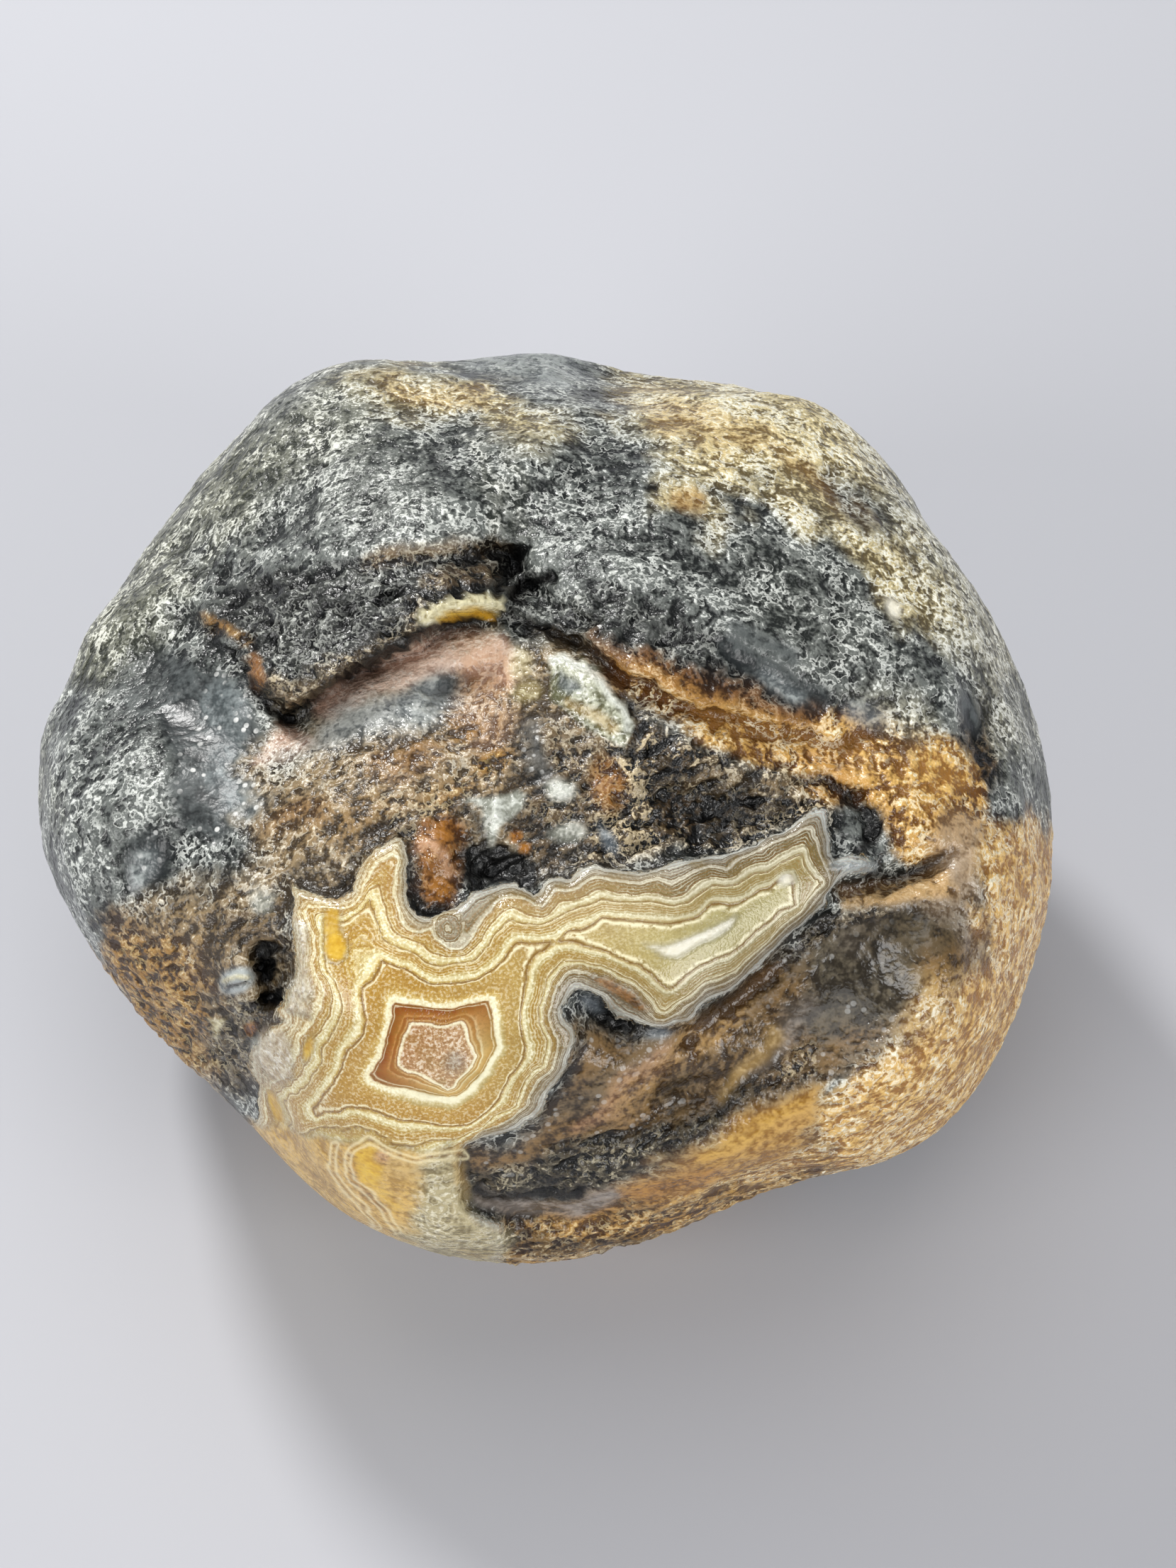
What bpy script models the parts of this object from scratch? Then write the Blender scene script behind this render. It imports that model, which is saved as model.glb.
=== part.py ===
"""A worn, banded agate pebble about 70 mm across, resting on a small flat spot.

The stone is one solid. It starts as an ico sphere, is drawn out to a boxy pebble, is fitted to
the outline that a viewer sees who looks down on its banded face, and is then carved: two dark
shoulders with a brow that overhangs a shelf, a banded window that stands a little proud, and the
hollows, grooves and chips around it. Sizes are in millimetres until the mesh is written.

+Z is up, +X is the viewer's right, and the viewer stands on the -Y side. The origin is under the
middle of the stone, on the surface that it rests on.
"""

import math

import bpy
import numpy as np

METRES = 0.001
NAME = "agate_pebble"

# Driving sizes
HALF_WIDTH, HALF_DEPTH, HALF_HEIGHT = 35.0, 32.5, 23.5
BOXINESS = 2.35  # 2 is an ellipsoid; more is squarer
REST_CUT = 2.0  # how much the underside is worn flat, up from its lowest point
REST_ROUND = 0.6  # how softly the flat spot meets the rounded underside
CENTRE = (-0.08, -1.14, HALF_HEIGHT - REST_CUT)  # so that the stone's box is centred on the origin
SPHERE_STEPS = 7
TRIANGLES = 9400

# The viewer: face coordinates are millimetres to the right and up on the plane through CENTRE
VIEW_ELEVATION = math.radians(55)
EYE_DISTANCE = 200.0
AIM_ACROSS, AIM_UP = 2.8, 1.3  # where the viewer looks, from CENTRE
RIM_TILT = -0.31  # how the surface through the outline leans back as it rises

# Outline seen from there: angle in degrees, counter-clockwise from the right, and distance from
# CENTRE, at the corners and flats of the stone
OUTLINE = (
    (0, 35.0), (15, 33.8), (30, 32.5), (50, 33.0), (63, 32.4), (79, 30.7), (90, 31.3), (101, 31.5),
    (118, 33.4), (130, 33.6), (145, 33.1), (165, 33.3), (181, 34.8), (200, 32.6), (224, 30.4),
    (245, 31.9), (262, 32.1), (290, 30.8), (302, 31.3), (319, 35.2), (340, 35.5),
)

FORWARD = np.array((0.0, math.cos(VIEW_ELEVATION), -math.sin(VIEW_ELEVATION)))
RIGHT = np.array((1.0, 0.0, 0.0))
UP = np.array((0.0, math.sin(VIEW_ELEVATION), math.cos(VIEW_ELEVATION)))
EYE = np.array(CENTRE) + RIGHT * AIM_ACROSS + UP * AIM_UP - FORWARD * EYE_DISTANCE


def seen(points):
    """Face coordinates (across, up) of points, and how far each stands before the face plane."""
    ray = points - EYE
    depth = ray @ FORWARD
    across = (ray @ RIGHT) * EYE_DISTANCE / depth + AIM_ACROSS
    up = (ray @ UP) * EYE_DISTANCE / depth + AIM_UP
    return across, up, EYE_DISTANCE - depth


def placed(across, up, near):
    """The points that are seen at these face coordinates, standing near before the plane."""
    depth = EYE_DISTANCE - near
    side = (across - AIM_ACROSS) * depth / EYE_DISTANCE
    rise = (up - AIM_UP) * depth / EYE_DISTANCE
    return EYE + np.outer(side, RIGHT) + np.outer(rise, UP) + np.outer(depth, FORWARD)


def smooth_step(value, low, high):
    """0 below low, 1 above high, and an even curve between them."""
    t = np.clip((value - low) / (high - low), 0, 1)
    return t * t * (3 - 2 * t)


def ripple(points, wavelength, seed, waves=14):
    """Even, seeded unevenness between about -1 and 1: crossed waves of one length."""
    rng = np.random.default_rng(seed)
    heading = rng.normal(size=(waves, 3))
    heading /= np.linalg.norm(heading, axis=1, keepdims=True)
    spread = rng.uniform(0.75, 1.35, waves)
    phase = rng.uniform(0, 2 * math.pi, waves)
    turns = points @ heading.T * (2 * math.pi / wavelength * spread) + phase
    return np.sin(turns).sum(axis=1) / math.sqrt(waves)


def from_line(across, up, line):
    """Distance to a line of (across, up, value) points, and the value at the nearest point."""
    best = np.full(len(across), np.inf)
    value = np.zeros(len(across))
    for (x0, y0, v0), (x1, y1, v1) in zip(line, line[1:]):
        dx, dy = x1 - x0, y1 - y0
        t = np.clip(((across - x0) * dx + (up - y0) * dy) / (dx * dx + dy * dy), 0, 1)
        away = np.hypot(across - x0 - t * dx, up - y0 - t * dy)
        nearer = away < best
        best = np.where(nearer, away, best)
        value = np.where(nearer, v0 + t * (v1 - v0), value)
    return best, value


def inside(across, up, corners):
    """True where a point lies inside the polygon."""
    found = np.zeros(len(across), bool)
    for (x0, y0), (x1, y1) in zip(corners, corners[1:] + corners[:1]):
        crosses = (y0 > up) != (y1 > up)
        with np.errstate(divide="ignore", invalid="ignore"):
            at = x0 + (up - y0) * (x1 - x0) / (y1 - y0)
        found ^= crosses & (across < at)
    return found


def groove(across, up, line, width):
    """A rounded furrow along a line of (across, up, depth) points."""
    away, depth = from_line(across, up, line)
    return -depth * np.exp(-((away / width) ** 2))


def dent(across, up, middle, radii, turn, depth):
    """A rounded hollow, or a lump where depth is negative. turn is in degrees."""
    c, s = math.cos(math.radians(turn)), math.sin(math.radians(turn))
    x, y = across - middle[0], up - middle[1]
    far = ((x * c + y * s) / radii[0]) ** 2 + ((y * c - x * s) / radii[1]) ** 2
    return -depth * np.exp(-far)


# The brow: where the shoulders end above the shelf, with the height of the step
BROW = [
    (-26.5, 15.5, 0.0), (-24.0, 12.7, 1.2), (-21.6, 10.5, 2.0), (-20.2, 8.3, 2.6),
    (-17.8, 6.2, 3.2), (-15.0, 7.8, 3.5), (-10.7, 10.5, 3.6), (-7.5, 12.1, 3.4),
    (-5.0, 13.0, 3.0), (-2.8, 13.4, 2.4), (-0.6, 12.6, 2.2), (1.0, 11.6, 2.4),
    (3.4, 10.5, 2.5), (8.3, 7.8, 2.2), (14.2, 5.6, 1.9), (19.7, 4.8, 1.2), (24.5, 6.0, 0.0),
]
BROW_OVER = [(40.0, 8.0), (40.0, 45.0), (-40.0, 45.0), (-40.0, 17.0)]
BROW_EDGE = 0.6
BROW_REACH, SHELF_REACH = 16.0, 8.0
SHELF_SHARE = 0.6  # how much of the step is cut down below the brow, not built up above it

# The banded window: its proud plate, drawn as a coarse outline
WINDOW = [
    (-17.8, -5.8), (-14.5, -6.9), (-12.4, -4.2), (-10.2, -2.4), (-9.4, -6.0), (-7.4, -8.6),
    (-4.2, -6.9), (0.1, -6.0), (8.3, -4.2), (13.2, -3.1), (18.8, -1.0), (20.0, -4.6),
    (16.9, -9.0), (9.9, -15.0), (6.6, -15.0), (2.6, -11.8), (0.7, -13.4), (1.5, -17.2),
    (-0.4, -21.0), (-4.6, -24.0), (-5.6, -30.5), (-12.0, -31.5), (-22.0, -24.0), (-20.2, -20.4),
    (-17.8, -15.0), (-17.4, -9.6),
]
WINDOW_RISE, WINDOW_EDGE = 1.0, 0.6

# Hollows and lumps: middle, radii, turn in degrees, depth, which is negative for a lump
DENTS = {
    "broad fall below the brow": ((-2.0, 1.0), (24.0, 10.0), 4, 2.0),
    "left shoulder": ((-12.5, 19.0), (11.0, 7.5), 14, -1.4),
    "right shoulder": ((10.5, 16.5), (11.5, 9.0), -22, -1.7),
    "rim over the left shoulder": ((-14.0, 30.0), (12.0, 4.0), 10, -0.8),
    "flat chip on the top rim": ((-0.6, 30.8), (6.0, 2.4), -6, 1.3),
    "glassy chip on the left": ((-22.0, 4.2), (4.4, 6.4), 22, 1.7),
    "small chip on the left rim": ((-26.8, -4.4), (2.4, 4.0), -20, 1.2),
    "cavity beside the window": ((-19.0, -12.4), (1.5, 3.0), 8, 2.0),
    "black pit over the window": ((-4.0, -4.6), (3.0, 1.7), -6, 1.5),
    "undercut below the arm": ((4.6, -14.8), (2.7, 1.9), -22, 2.3),
    "smoky hollow": ((17.6, -12.0), (7.6, 4.8), 38, 3.0),
    "valley below the arm": ((8.0, -19.0), (8.0, 4.2), 34, 2.2),
    "dark recess over the arm": ((10.6, -0.6), (4.6, 2.0), 8, 1.4),
    "chip on the right shoulder": ((14.9, 8.7), (4.2, 1.3), -30, 0.9),
    "chip near the right edge": ((30.4, 5.0), (1.3, 3.4), 14, 1.0),
    "orange nodule": ((-7.6, -3.6), (1.9, 2.4), 0, -1.3),
    "knob left of the window": ((-21.2, -12.6), (1.5, 1.6), 0, -1.1),
    "amber cheek": ((13.5, 2.0), (7.0, 3.0), -24, -1.0),
    "belly of the shelf": ((-11.0, 2.0), (8.0, 4.6), 12, -1.7),
    "pale worm": ((2.9, 7.2), (1.4, 3.6), 36, -0.9),
    "notch in the bottom edge": ((14.0, -28.4), (2.6, 1.4), 20, 1.2),
}

# Furrows, and ridges where the depth is negative: points of (across, up, depth), and width
FURROWS = {
    "valley between the shoulders": (
        [(6.8, 31.0, 2.4), (4.2, 26.5, 2.0), (0.8, 22.0, 1.8), (-1.8, 18.4, 1.8)], 4.0),
    "crevice at its foot": (
        [(-2.6, 18.0, 0.4), (-2.2, 16.0, 1.8), (-0.4, 13.8, 2.2), (2.0, 11.8, 1.4)], 1.2),
    "crack over the lip": (
        [(-21.0, 15.6, 0.0), (-15.0, 16.2, 0.8), (-8.0, 16.4, 1.0), (-3.4, 17.2, 1.2)], 0.9),
    "crease under the left lip": (
        [(-20.2, 7.2, 0.4), (-17.4, 5.4, 1.2), (-11.0, 9.4, 1.3), (-5.0, 12.0, 1.0)], 1.1),
    "channel under the window": (
        [(-5.6, -26.6, 0.6), (-2.0, -28.4, 1.8), (3.4, -28.6, 1.6), (7.6, -26.4, 0.4)], 1.4),
    "crack by the arm's tip": (
        [(20.6, -6.0, 0.6), (23.4, -5.4, 1.6), (26.4, -4.6, 1.6), (28.6, -3.0, 0.3)], 0.9),
    "edge under the arm": (
        [(9.8, -16.2, 1.2), (14.6, -12.4, 1.1), (19.2, -8.0, 0.9)], 1.0),
    "fold over the heel": (
        [(3.6, -24.0, 0.4), (9.0, -20.6, 1.2), (15.4, -18.2, 0.5)], 1.3),
    "amber rim": (
        [(28.6, -1.0, 0.0), (29.2, -8.0, -1.4), (27.4, -15.0, -2.0), (20.0, -22.6, -2.0),
         (11.0, -25.8, -1.8), (3.0, -27.6, 0.0)], 3.6),
    "ridge between the folds": (
        [(2.6, -21.0, 0.0), (7.4, -16.8, -0.9), (12.8, -14.4, 0.0)], 1.4),
}

# Uneven swells all over: wavelength, seed, height
SWELLS = ((23.0, 3, 0.75), (8.0, 8, 0.18))

# Hollows and swells on the sides that the viewer doesn't see: point, radius, depth
FAR_DENTS = {
    "saddle behind the shoulders": ((4.0, 24.0, 16.0), 9.0, 1.4),
    "flake on the back": ((-16.0, 26.0, -4.0), 10.0, 1.6),
    "hollow low on the back": ((15.0, 27.0, -9.0), 9.0, 1.5),
    "swell at the back": ((-2.0, 32.0, -4.0), 10.0, -1.0),
    "thumb hollow underneath": ((20.0, -6.0, -20.0), 9.0, 1.3),
    "hollow under the left rim": ((-25.0, 4.0, -16.0), 8.0, 1.2),
}


def pebble():
    """The rough form before carving: an ico sphere drawn out to a boxy pebble about CENTRE."""
    bpy.ops.mesh.primitive_ico_sphere_add(subdivisions=SPHERE_STEPS, radius=1.0)
    stone = bpy.context.object
    stone.name = stone.data.name = NAME
    unit = np.empty(len(stone.data.vertices) * 3)
    stone.data.vertices.foreach_get("co", unit)
    unit = unit.reshape(-1, 3)
    size = (np.abs(unit) ** BOXINESS).sum(axis=1) ** (-1 / BOXINESS)
    return stone, unit * size[:, None] * (HALF_WIDTH, HALF_DEPTH, HALF_HEIGHT) + CENTRE


def rim_radius(angle, apparent, bins=90):
    """The greatest apparent radius in the direction of each point: the outline as it is now."""
    index = np.floor(angle / (2 * math.pi) * bins).astype(int) % bins
    widest = np.zeros(bins)
    np.maximum.at(widest, index, apparent)
    middles = (np.arange(bins) + 0.5) * 2 * math.pi / bins
    return np.interp(angle, middles, widest, period=2 * math.pi)


def wanted_radius(angle):
    """OUTLINE read at any angle, by a smooth closed curve through its points."""
    turn = 2 * math.pi
    corner = np.radians([degrees for degrees, _ in OUTLINE])
    radius = np.array([distance for _, distance in OUTLINE])
    slope = (np.roll(radius, -1) - np.roll(radius, 1)) / (
        (np.roll(corner, -1) - np.roll(corner, 1)) % turn)
    here = np.searchsorted(corner, angle, side="right") - 1
    there = (here + 1) % len(corner)
    width = (corner[there] - corner[here]) % turn
    t = (angle - corner[here]) / width
    return (
        (2 * t**3 - 3 * t**2 + 1) * radius[here]
        + (t**3 - 2 * t**2 + t) * slope[here] * width
        + (3 * t**2 - 2 * t**3) * radius[there]
        + (t**3 - t**2) * slope[there] * width
    )


def fit_outline(points):
    """Stretches the stone across the view, so that the viewer sees OUTLINE."""
    across, up, near = seen(points)
    angle = np.arctan2(up, across) % (2 * math.pi)
    apparent = np.hypot(across, up)
    rim = rim_radius(angle, apparent)
    share = smooth_step(apparent / rim, 0.0, 0.9)
    scale = 1 + (wanted_radius(angle) / rim - 1) * share
    return placed(across * scale, up * scale, near)


def before_rim(up, near):
    """How far points stand before the surface through the outline, negative behind it."""
    return near - RIM_TILT * up


def swell(points):
    """Adds the uneven swells and the far hollows, leaving the outline as it is."""
    _, up, near = seen(points)
    free = smooth_step(np.abs(before_rim(up, near)), 0.5, 9.0)
    outward = points - CENTRE
    outward /= np.linalg.norm(outward, axis=1, keepdims=True)
    height = sum(depth * ripple(points, length, seed) for length, seed, depth in SWELLS)
    for middle, radius, depth in FAR_DENTS.values():
        away = np.linalg.norm(points - CENTRE - middle, axis=1)
        height -= depth * np.exp(-((away / radius) ** 2))
    return points + outward * (height * free)[:, None]


def brow(across, up):
    """The step from the shoulders down to the shelf."""
    away, height = from_line(across, up, BROW)
    edge = [(x, y) for x, y, _ in BROW]
    side = np.where(inside(across, up, edge + BROW_OVER), away, -away)
    over = smooth_step(side, -BROW_EDGE, BROW_EDGE)
    built = height * (1 - SHELF_SHARE) * over * np.exp(-np.maximum(side, 0) / BROW_REACH)
    cut = height * SHELF_SHARE * (1 - over) * np.exp(-np.maximum(-side, 0) / SHELF_REACH)
    return built - cut


def window(across, up):
    """The banded plate's rise over the skin round it."""
    away, _ = from_line(across, up, [(*p, 0.0) for p in WINDOW + WINDOW[:1]])
    side = np.where(inside(across, up, WINDOW), away, -away)
    return WINDOW_RISE * smooth_step(side, -WINDOW_EDGE, WINDOW_EDGE)


def carve(points):
    """Cuts and raises the seen face. The cuts fade out where the surface turns out of sight."""
    across, up, near = seen(points)
    front = smooth_step(before_rim(up, near), 1.0, 7.0)
    relief = brow(across, up) + window(across, up)
    for middle, radii, turn, depth in DENTS.values():
        relief += dent(across, up, middle, radii, turn, depth)
    for line, width in FURROWS.values():
        relief += groove(across, up, line, width)
    return placed(across, up, near + relief * front)


def wear_flat(points):
    """Wears the underside to the flat spot that the stone rests on, at height 0."""
    height = points[:, 2]
    rounded = np.maximum(height + REST_ROUND, 0) ** 2 / (4 * REST_ROUND)
    points[:, 2] = np.where(height > REST_ROUND, height, rounded)
    return points


def finish_mesh(stone, points):
    """Writes the points back in metres, thins the mesh where it is smooth, and dresses it."""
    stone.data.vertices.foreach_set("co", (points * METRES).astype(np.float32).ravel())
    stone.data.update()
    thin = stone.modifiers.new("thin", "DECIMATE")
    thin.ratio = TRIANGLES / len(stone.data.polygons)
    stone.data.shade_smooth()
    material = bpy.data.materials.new("agate")
    material.use_nodes = True
    surface = material.node_tree.nodes["Principled BSDF"]
    surface.inputs["Base Color"].default_value = (0.27, 0.19, 0.10, 1.0)
    surface.inputs["Roughness"].default_value = 0.38
    surface.inputs["Metallic"].default_value = 0.0
    stone.data.materials.append(material)


def main():
    """Clears the scene and makes the stone in a collection of its own."""
    for old in list(bpy.data.objects):
        bpy.data.objects.remove(old)
    stone, points = pebble()
    points = wear_flat(carve(swell(fit_outline(points))))
    finish_mesh(stone, points)
    collection = bpy.data.collections.new("banded agate")
    bpy.context.scene.collection.children.link(collection)
    for home in list(stone.users_collection):
        home.objects.unlink(stone)
    collection.objects.link(stone)


main()
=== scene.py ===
"""The looks of a worn, banded agate pebble that rests on its flat spot.

The stone is one dense mesh. It is sculpted with the same sizes as its CAD solid, made ragged where
the real skin is broken, and painted: each kind of surface is a finish with three shades, and the
banded window has a level that runs from 0 at its edge to 5 at its core. The material turns those
numbers into percussion marks, grain, fine lines and gloss.

Sizes are in millimetres until the mesh is written, and face coordinates are millimetres to the
right and up on the plane that a viewer sees who looks down on the banded face.
"""

from __future__ import annotations

import logging
import math
from collections.abc import Iterable, Sequence
from dataclasses import dataclass, replace
from enum import Enum
from functools import reduce

import bmesh
import bpy
import numpy as np
from mathutils import Matrix, Vector, noise

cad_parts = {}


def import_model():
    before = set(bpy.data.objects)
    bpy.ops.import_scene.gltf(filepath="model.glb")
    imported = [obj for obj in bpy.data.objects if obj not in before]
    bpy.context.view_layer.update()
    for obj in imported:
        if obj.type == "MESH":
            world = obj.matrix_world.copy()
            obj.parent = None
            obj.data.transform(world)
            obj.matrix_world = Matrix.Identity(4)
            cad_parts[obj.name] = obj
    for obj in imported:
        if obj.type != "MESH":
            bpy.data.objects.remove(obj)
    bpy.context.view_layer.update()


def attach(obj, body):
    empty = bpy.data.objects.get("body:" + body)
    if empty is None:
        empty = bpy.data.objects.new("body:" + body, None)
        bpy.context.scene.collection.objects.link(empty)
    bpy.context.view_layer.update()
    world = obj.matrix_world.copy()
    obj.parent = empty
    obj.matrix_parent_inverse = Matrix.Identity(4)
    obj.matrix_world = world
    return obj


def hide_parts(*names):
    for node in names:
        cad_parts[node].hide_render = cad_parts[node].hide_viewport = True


LOG = logging.getLogger("agate")
METRES = 0.001
NODE = "agate_pebble"
BODY = "root"

Array = np.ndarray
Colour = tuple[int, int, int]
Point = tuple[float, float]
Triple = tuple[float, float, float]
Line = Sequence[Point]


def smooth_step(value: Array, low: float, high: float) -> Array:
    """0 below low, 1 above high, and an even curve between them."""
    t = np.clip((value - low) / (high - low), 0, 1)
    return t * t * (3 - 2 * t)


def linear(colour: Colour) -> Triple:
    """A colour of 0 to 255 as the eye reads it, turned to amounts of light."""
    parts = [c / 255 for c in colour]
    return tuple(p / 12.92 if p <= 0.04045 else ((p + 0.055) / 1.055) ** 2.4 for p in parts)


def ripple(points: Array, wavelength: float, seed: int, waves: int = 14) -> Array:
    """Even, seeded unevenness made of crossed waves of one length.

    Args:
        points: Places in millimetres, one a row.
        wavelength: The waves' middle length in millimetres.
        seed: Picks the waves' headings and phases.
        waves: How many waves cross.

    Returns:
        A height between about -1 and 1 at each place.
    """
    rng = np.random.default_rng(seed)
    heading = rng.normal(size=(waves, 3))
    heading /= np.linalg.norm(heading, axis=1, keepdims=True)
    spread = rng.uniform(0.75, 1.35, waves)
    phase = rng.uniform(0, 2 * math.pi, waves)
    turns = points @ heading.T * (2 * math.pi / wavelength * spread) + phase
    return np.sin(turns).sum(axis=1) / math.sqrt(waves)


def shifted(points: Array, wavelength: float, seed: int) -> list[Vector]:
    """The points in units of wavelength, moved to a stretch of noise of their own."""
    return [Vector(p) for p in points / wavelength + np.array((17.3, -9.1, 5.7)) * seed]


def cloudy(points: Array, wavelength: float, octaves: int = 3, seed: int = 0) -> Array:
    """Fractal noise at each point, between about -1 and 1."""
    return np.array([noise.fractal(p, 1.0, 2.0, octaves) for p in shifted(points, wavelength, seed)])


def ridged(points: Array, wavelength: float, octaves: int = 4, seed: int = 0) -> Array:
    """Noise with sharp crests, about 0 in its hollows and 1 on its crests."""
    places = shifted(points, wavelength, seed)
    return np.array([noise.ridged_multi_fractal(p, 0.9, 2.1, octaves, 1.0, 2.0) for p in places]) * 0.5


def pebbled(points: Array, wavelength: float, seed: int = 0) -> Array:
    """Rounded grains: 1 in the middle of each and 0 in the gaps between them."""
    nearest = [noise.voronoi(p)[0] for p in shifted(points, wavelength, seed)]
    return np.array([min((far[1] - far[0]) * 1.6, 1.0) for far in nearest])


def segments(points: Sequence, closed: bool = False) -> Iterable[tuple]:
    """The straight runs of a line, with the one that closes it where it is closed."""
    return zip(points, [*points[1:], *points[:1]] if closed else points[1:])


def run_distance(across: Array, up: Array, ends: Sequence[Sequence[float]]) -> tuple[Array, Array]:
    """Distance from each place to a straight run, and the nearest place on the run, from 0 to 1."""
    (x0, y0), (x1, y1) = (end[:2] for end in ends)
    x, y, dx, dy = across - x0, up - y0, x1 - x0, y1 - y0
    t = np.clip((x * dx + y * dy) / (dx * dx + dy * dy), 0, 1)
    return np.hypot(x - t * dx, y - t * dy), t


def line_distance(across: Array, up: Array, points: Line, closed: bool = False) -> Array:
    """Distance from each place to a line of face coordinates."""
    return reduce(np.minimum, (run_distance(across, up, ends)[0] for ends in segments(points, closed)))


def inside(across: Array, up: Array, corners: Line) -> Array:
    """True where a place lies inside the polygon."""
    found = np.zeros(len(across), bool)
    for (x0, y0), (x1, y1) in segments(corners, closed=True):
        crosses = (y0 > up) != (y1 > up)
        with np.errstate(divide="ignore", invalid="ignore"):
            found ^= crosses & (across < x0 + (up - y0) * (x1 - x0) / (y1 - y0))
    return found


def plot_depth(across: Array, up: Array, corners: Line) -> Array:
    """How far each place lies inside the polygon, negative outside it."""
    away = line_distance(across, up, corners, closed=True)
    return np.where(inside(across, up, corners), away, -away)


def valued_line(across: Array, up: Array, line: Sequence[Triple]) -> tuple[Array, Array]:
    """Distance to a line of (across, up, value) points, and the value at the nearest place on it."""
    best, value = np.full(len(across), np.inf), np.zeros(len(across))
    for ends in segments(line):
        away, t = run_distance(across, up, ends)
        value = np.where(away < best, ends[0][2] + t * (ends[1][2] - ends[0][2]), value)
        best = np.minimum(away, best)
    return best, value


def read_vectors(items: bpy.types.bpy_prop_collection, name: str) -> Array:
    """A property of three numbers that each item has, one item a row."""
    values = np.empty(len(items) * 3, np.float32)
    items.foreach_get(name, values)
    return values.reshape(-1, 3).astype(float)


def write_points(mesh: bpy.types.Mesh, points: Array) -> None:
    """Puts the points in their mesh."""
    mesh.vertices.foreach_set("co", points.astype(np.float32).ravel())
    mesh.update()


def hold(mesh: bpy.types.Mesh, name: str, values: Array) -> None:
    """Keeps a number, or three numbers, on each vertex for the material."""
    kind, key = ("FLOAT_VECTOR", "vector") if values.shape[-1] == 3 else ("FLOAT", "value")
    mesh.attributes.new(name, kind, "POINT").data.foreach_set(key, values.astype(np.float32).ravel())


def show(name: str, data: bpy.types.ID) -> bpy.types.Object:
    """Makes an object of the data and puts it in the scene."""
    made = bpy.data.objects.new(name, data)
    bpy.context.scene.collection.objects.link(made)
    return made


@dataclass(frozen=True)
class Viewer:
    """The place that the banded face is seen from, and the camera that stands there."""

    centre: Triple = (-0.08, -1.14, 21.5)
    elevation: float = 55.0
    distance: float = 200.0
    aim_across: float = 2.8
    aim_up: float = 1.3
    rim_tilt: float = -0.31
    picture_height: float = 108.43  # what the upright picture takes in on the face plane
    sensor: float = 36.0
    nearest: float = 5.0  # what is closer than this to the eye isn't seen

    @property
    def forward(self) -> Array:
        """The direction that the viewer looks in."""
        tilt = math.radians(self.elevation)
        return np.array((0.0, math.cos(tilt), -math.sin(tilt)))

    @property
    def right(self) -> Array:
        """The viewer's right."""
        return np.array((1.0, 0.0, 0.0))

    @property
    def up(self) -> Array:
        """The viewer's up."""
        return np.cross(self.right, self.forward)

    @property
    def eye(self) -> Array:
        """Where the viewer's eye is."""
        aim = self.right * self.aim_across + self.up * self.aim_up
        return np.array(self.centre) + aim - self.forward * self.distance

    def seen(self, points: Array) -> tuple[Array, Array, Array]:
        """Face coordinates of points, and how far each stands before the face plane."""
        ray = points - self.eye
        depth = ray @ self.forward
        across = (ray @ self.right) * self.distance / depth + self.aim_across
        up = (ray @ self.up) * self.distance / depth + self.aim_up
        return across, up, self.distance - depth

    def placed(self, across: Array, up: Array, near: Array) -> Array:
        """The points that are seen at these face coordinates, standing near before the plane."""
        depth = self.distance - near
        side = (across - self.aim_across) * depth / self.distance
        rise = (up - self.aim_up) * depth / self.distance
        turned = np.outer(side, self.right) + np.outer(rise, self.up) + np.outer(depth, self.forward)
        return self.eye + turned

    def before_rim(self, points: Array) -> Array:
        """How far points stand before the surface through the stone's outline."""
        _, up, near = self.seen(points)
        return near - self.rim_tilt * up

    def camera(self) -> bpy.types.Object:
        """Makes the camera that sees what the viewer sees.

        Returns:
            The camera, placed and set on the scene.
        """
        lens = bpy.data.cameras.new("viewer")
        lens.sensor_width = self.sensor
        lens.lens = self.distance / self.picture_height * self.sensor
        lens.clip_start = self.nearest * METRES
        camera = show("viewer", lens)
        turn = Matrix([self.right, self.up, -self.forward]).transposed()
        camera.matrix_world = Matrix.Translation(Vector(self.eye * METRES)) @ turn.to_4x4()
        bpy.context.scene.camera = camera
        return camera


VIEWER = Viewer()


class Shape:
    """A region of the face."""

    def depth(self, across: Array, up: Array) -> Array:
        """How far each place lies inside the region, in millimetres, negative outside it."""
        raise NotImplementedError


@dataclass(frozen=True)
class Plot(Shape):
    """A polygon."""

    corners: Line

    def depth(self, across: Array, up: Array) -> Array:
        """How far each place lies inside the polygon."""
        return plot_depth(across, up, self.corners)


@dataclass(frozen=True)
class Streak(Shape):
    """A band along a line, with its half width."""

    points: Line
    half_width: float

    def depth(self, across: Array, up: Array) -> Array:
        """How far each place lies inside the band."""
        return self.half_width - line_distance(across, up, self.points)


@dataclass(frozen=True)
class Oval:
    """An oval of the face: its middle, its two radii and its turn in degrees."""

    middle: Point
    radii: Point
    turn: float = 0.0

    def shares(self, across: Array, up: Array) -> tuple[Array, Array]:
        """Places along the oval's two axes, by the share of its radii."""
        c, s = math.cos(math.radians(self.turn)), math.sin(math.radians(self.turn))
        x, y = across - self.middle[0], up - self.middle[1]
        return (x * c + y * s) / self.radii[0], (y * c - x * s) / self.radii[1]


class Blob(Oval, Shape):
    """A region that is an oval."""

    def depth(self, across: Array, up: Array) -> Array:
        """How far each place lies inside the oval, by the share of its smaller radius."""
        return (1 - np.hypot(*self.shares(across, up))) * min(self.radii)


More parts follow.
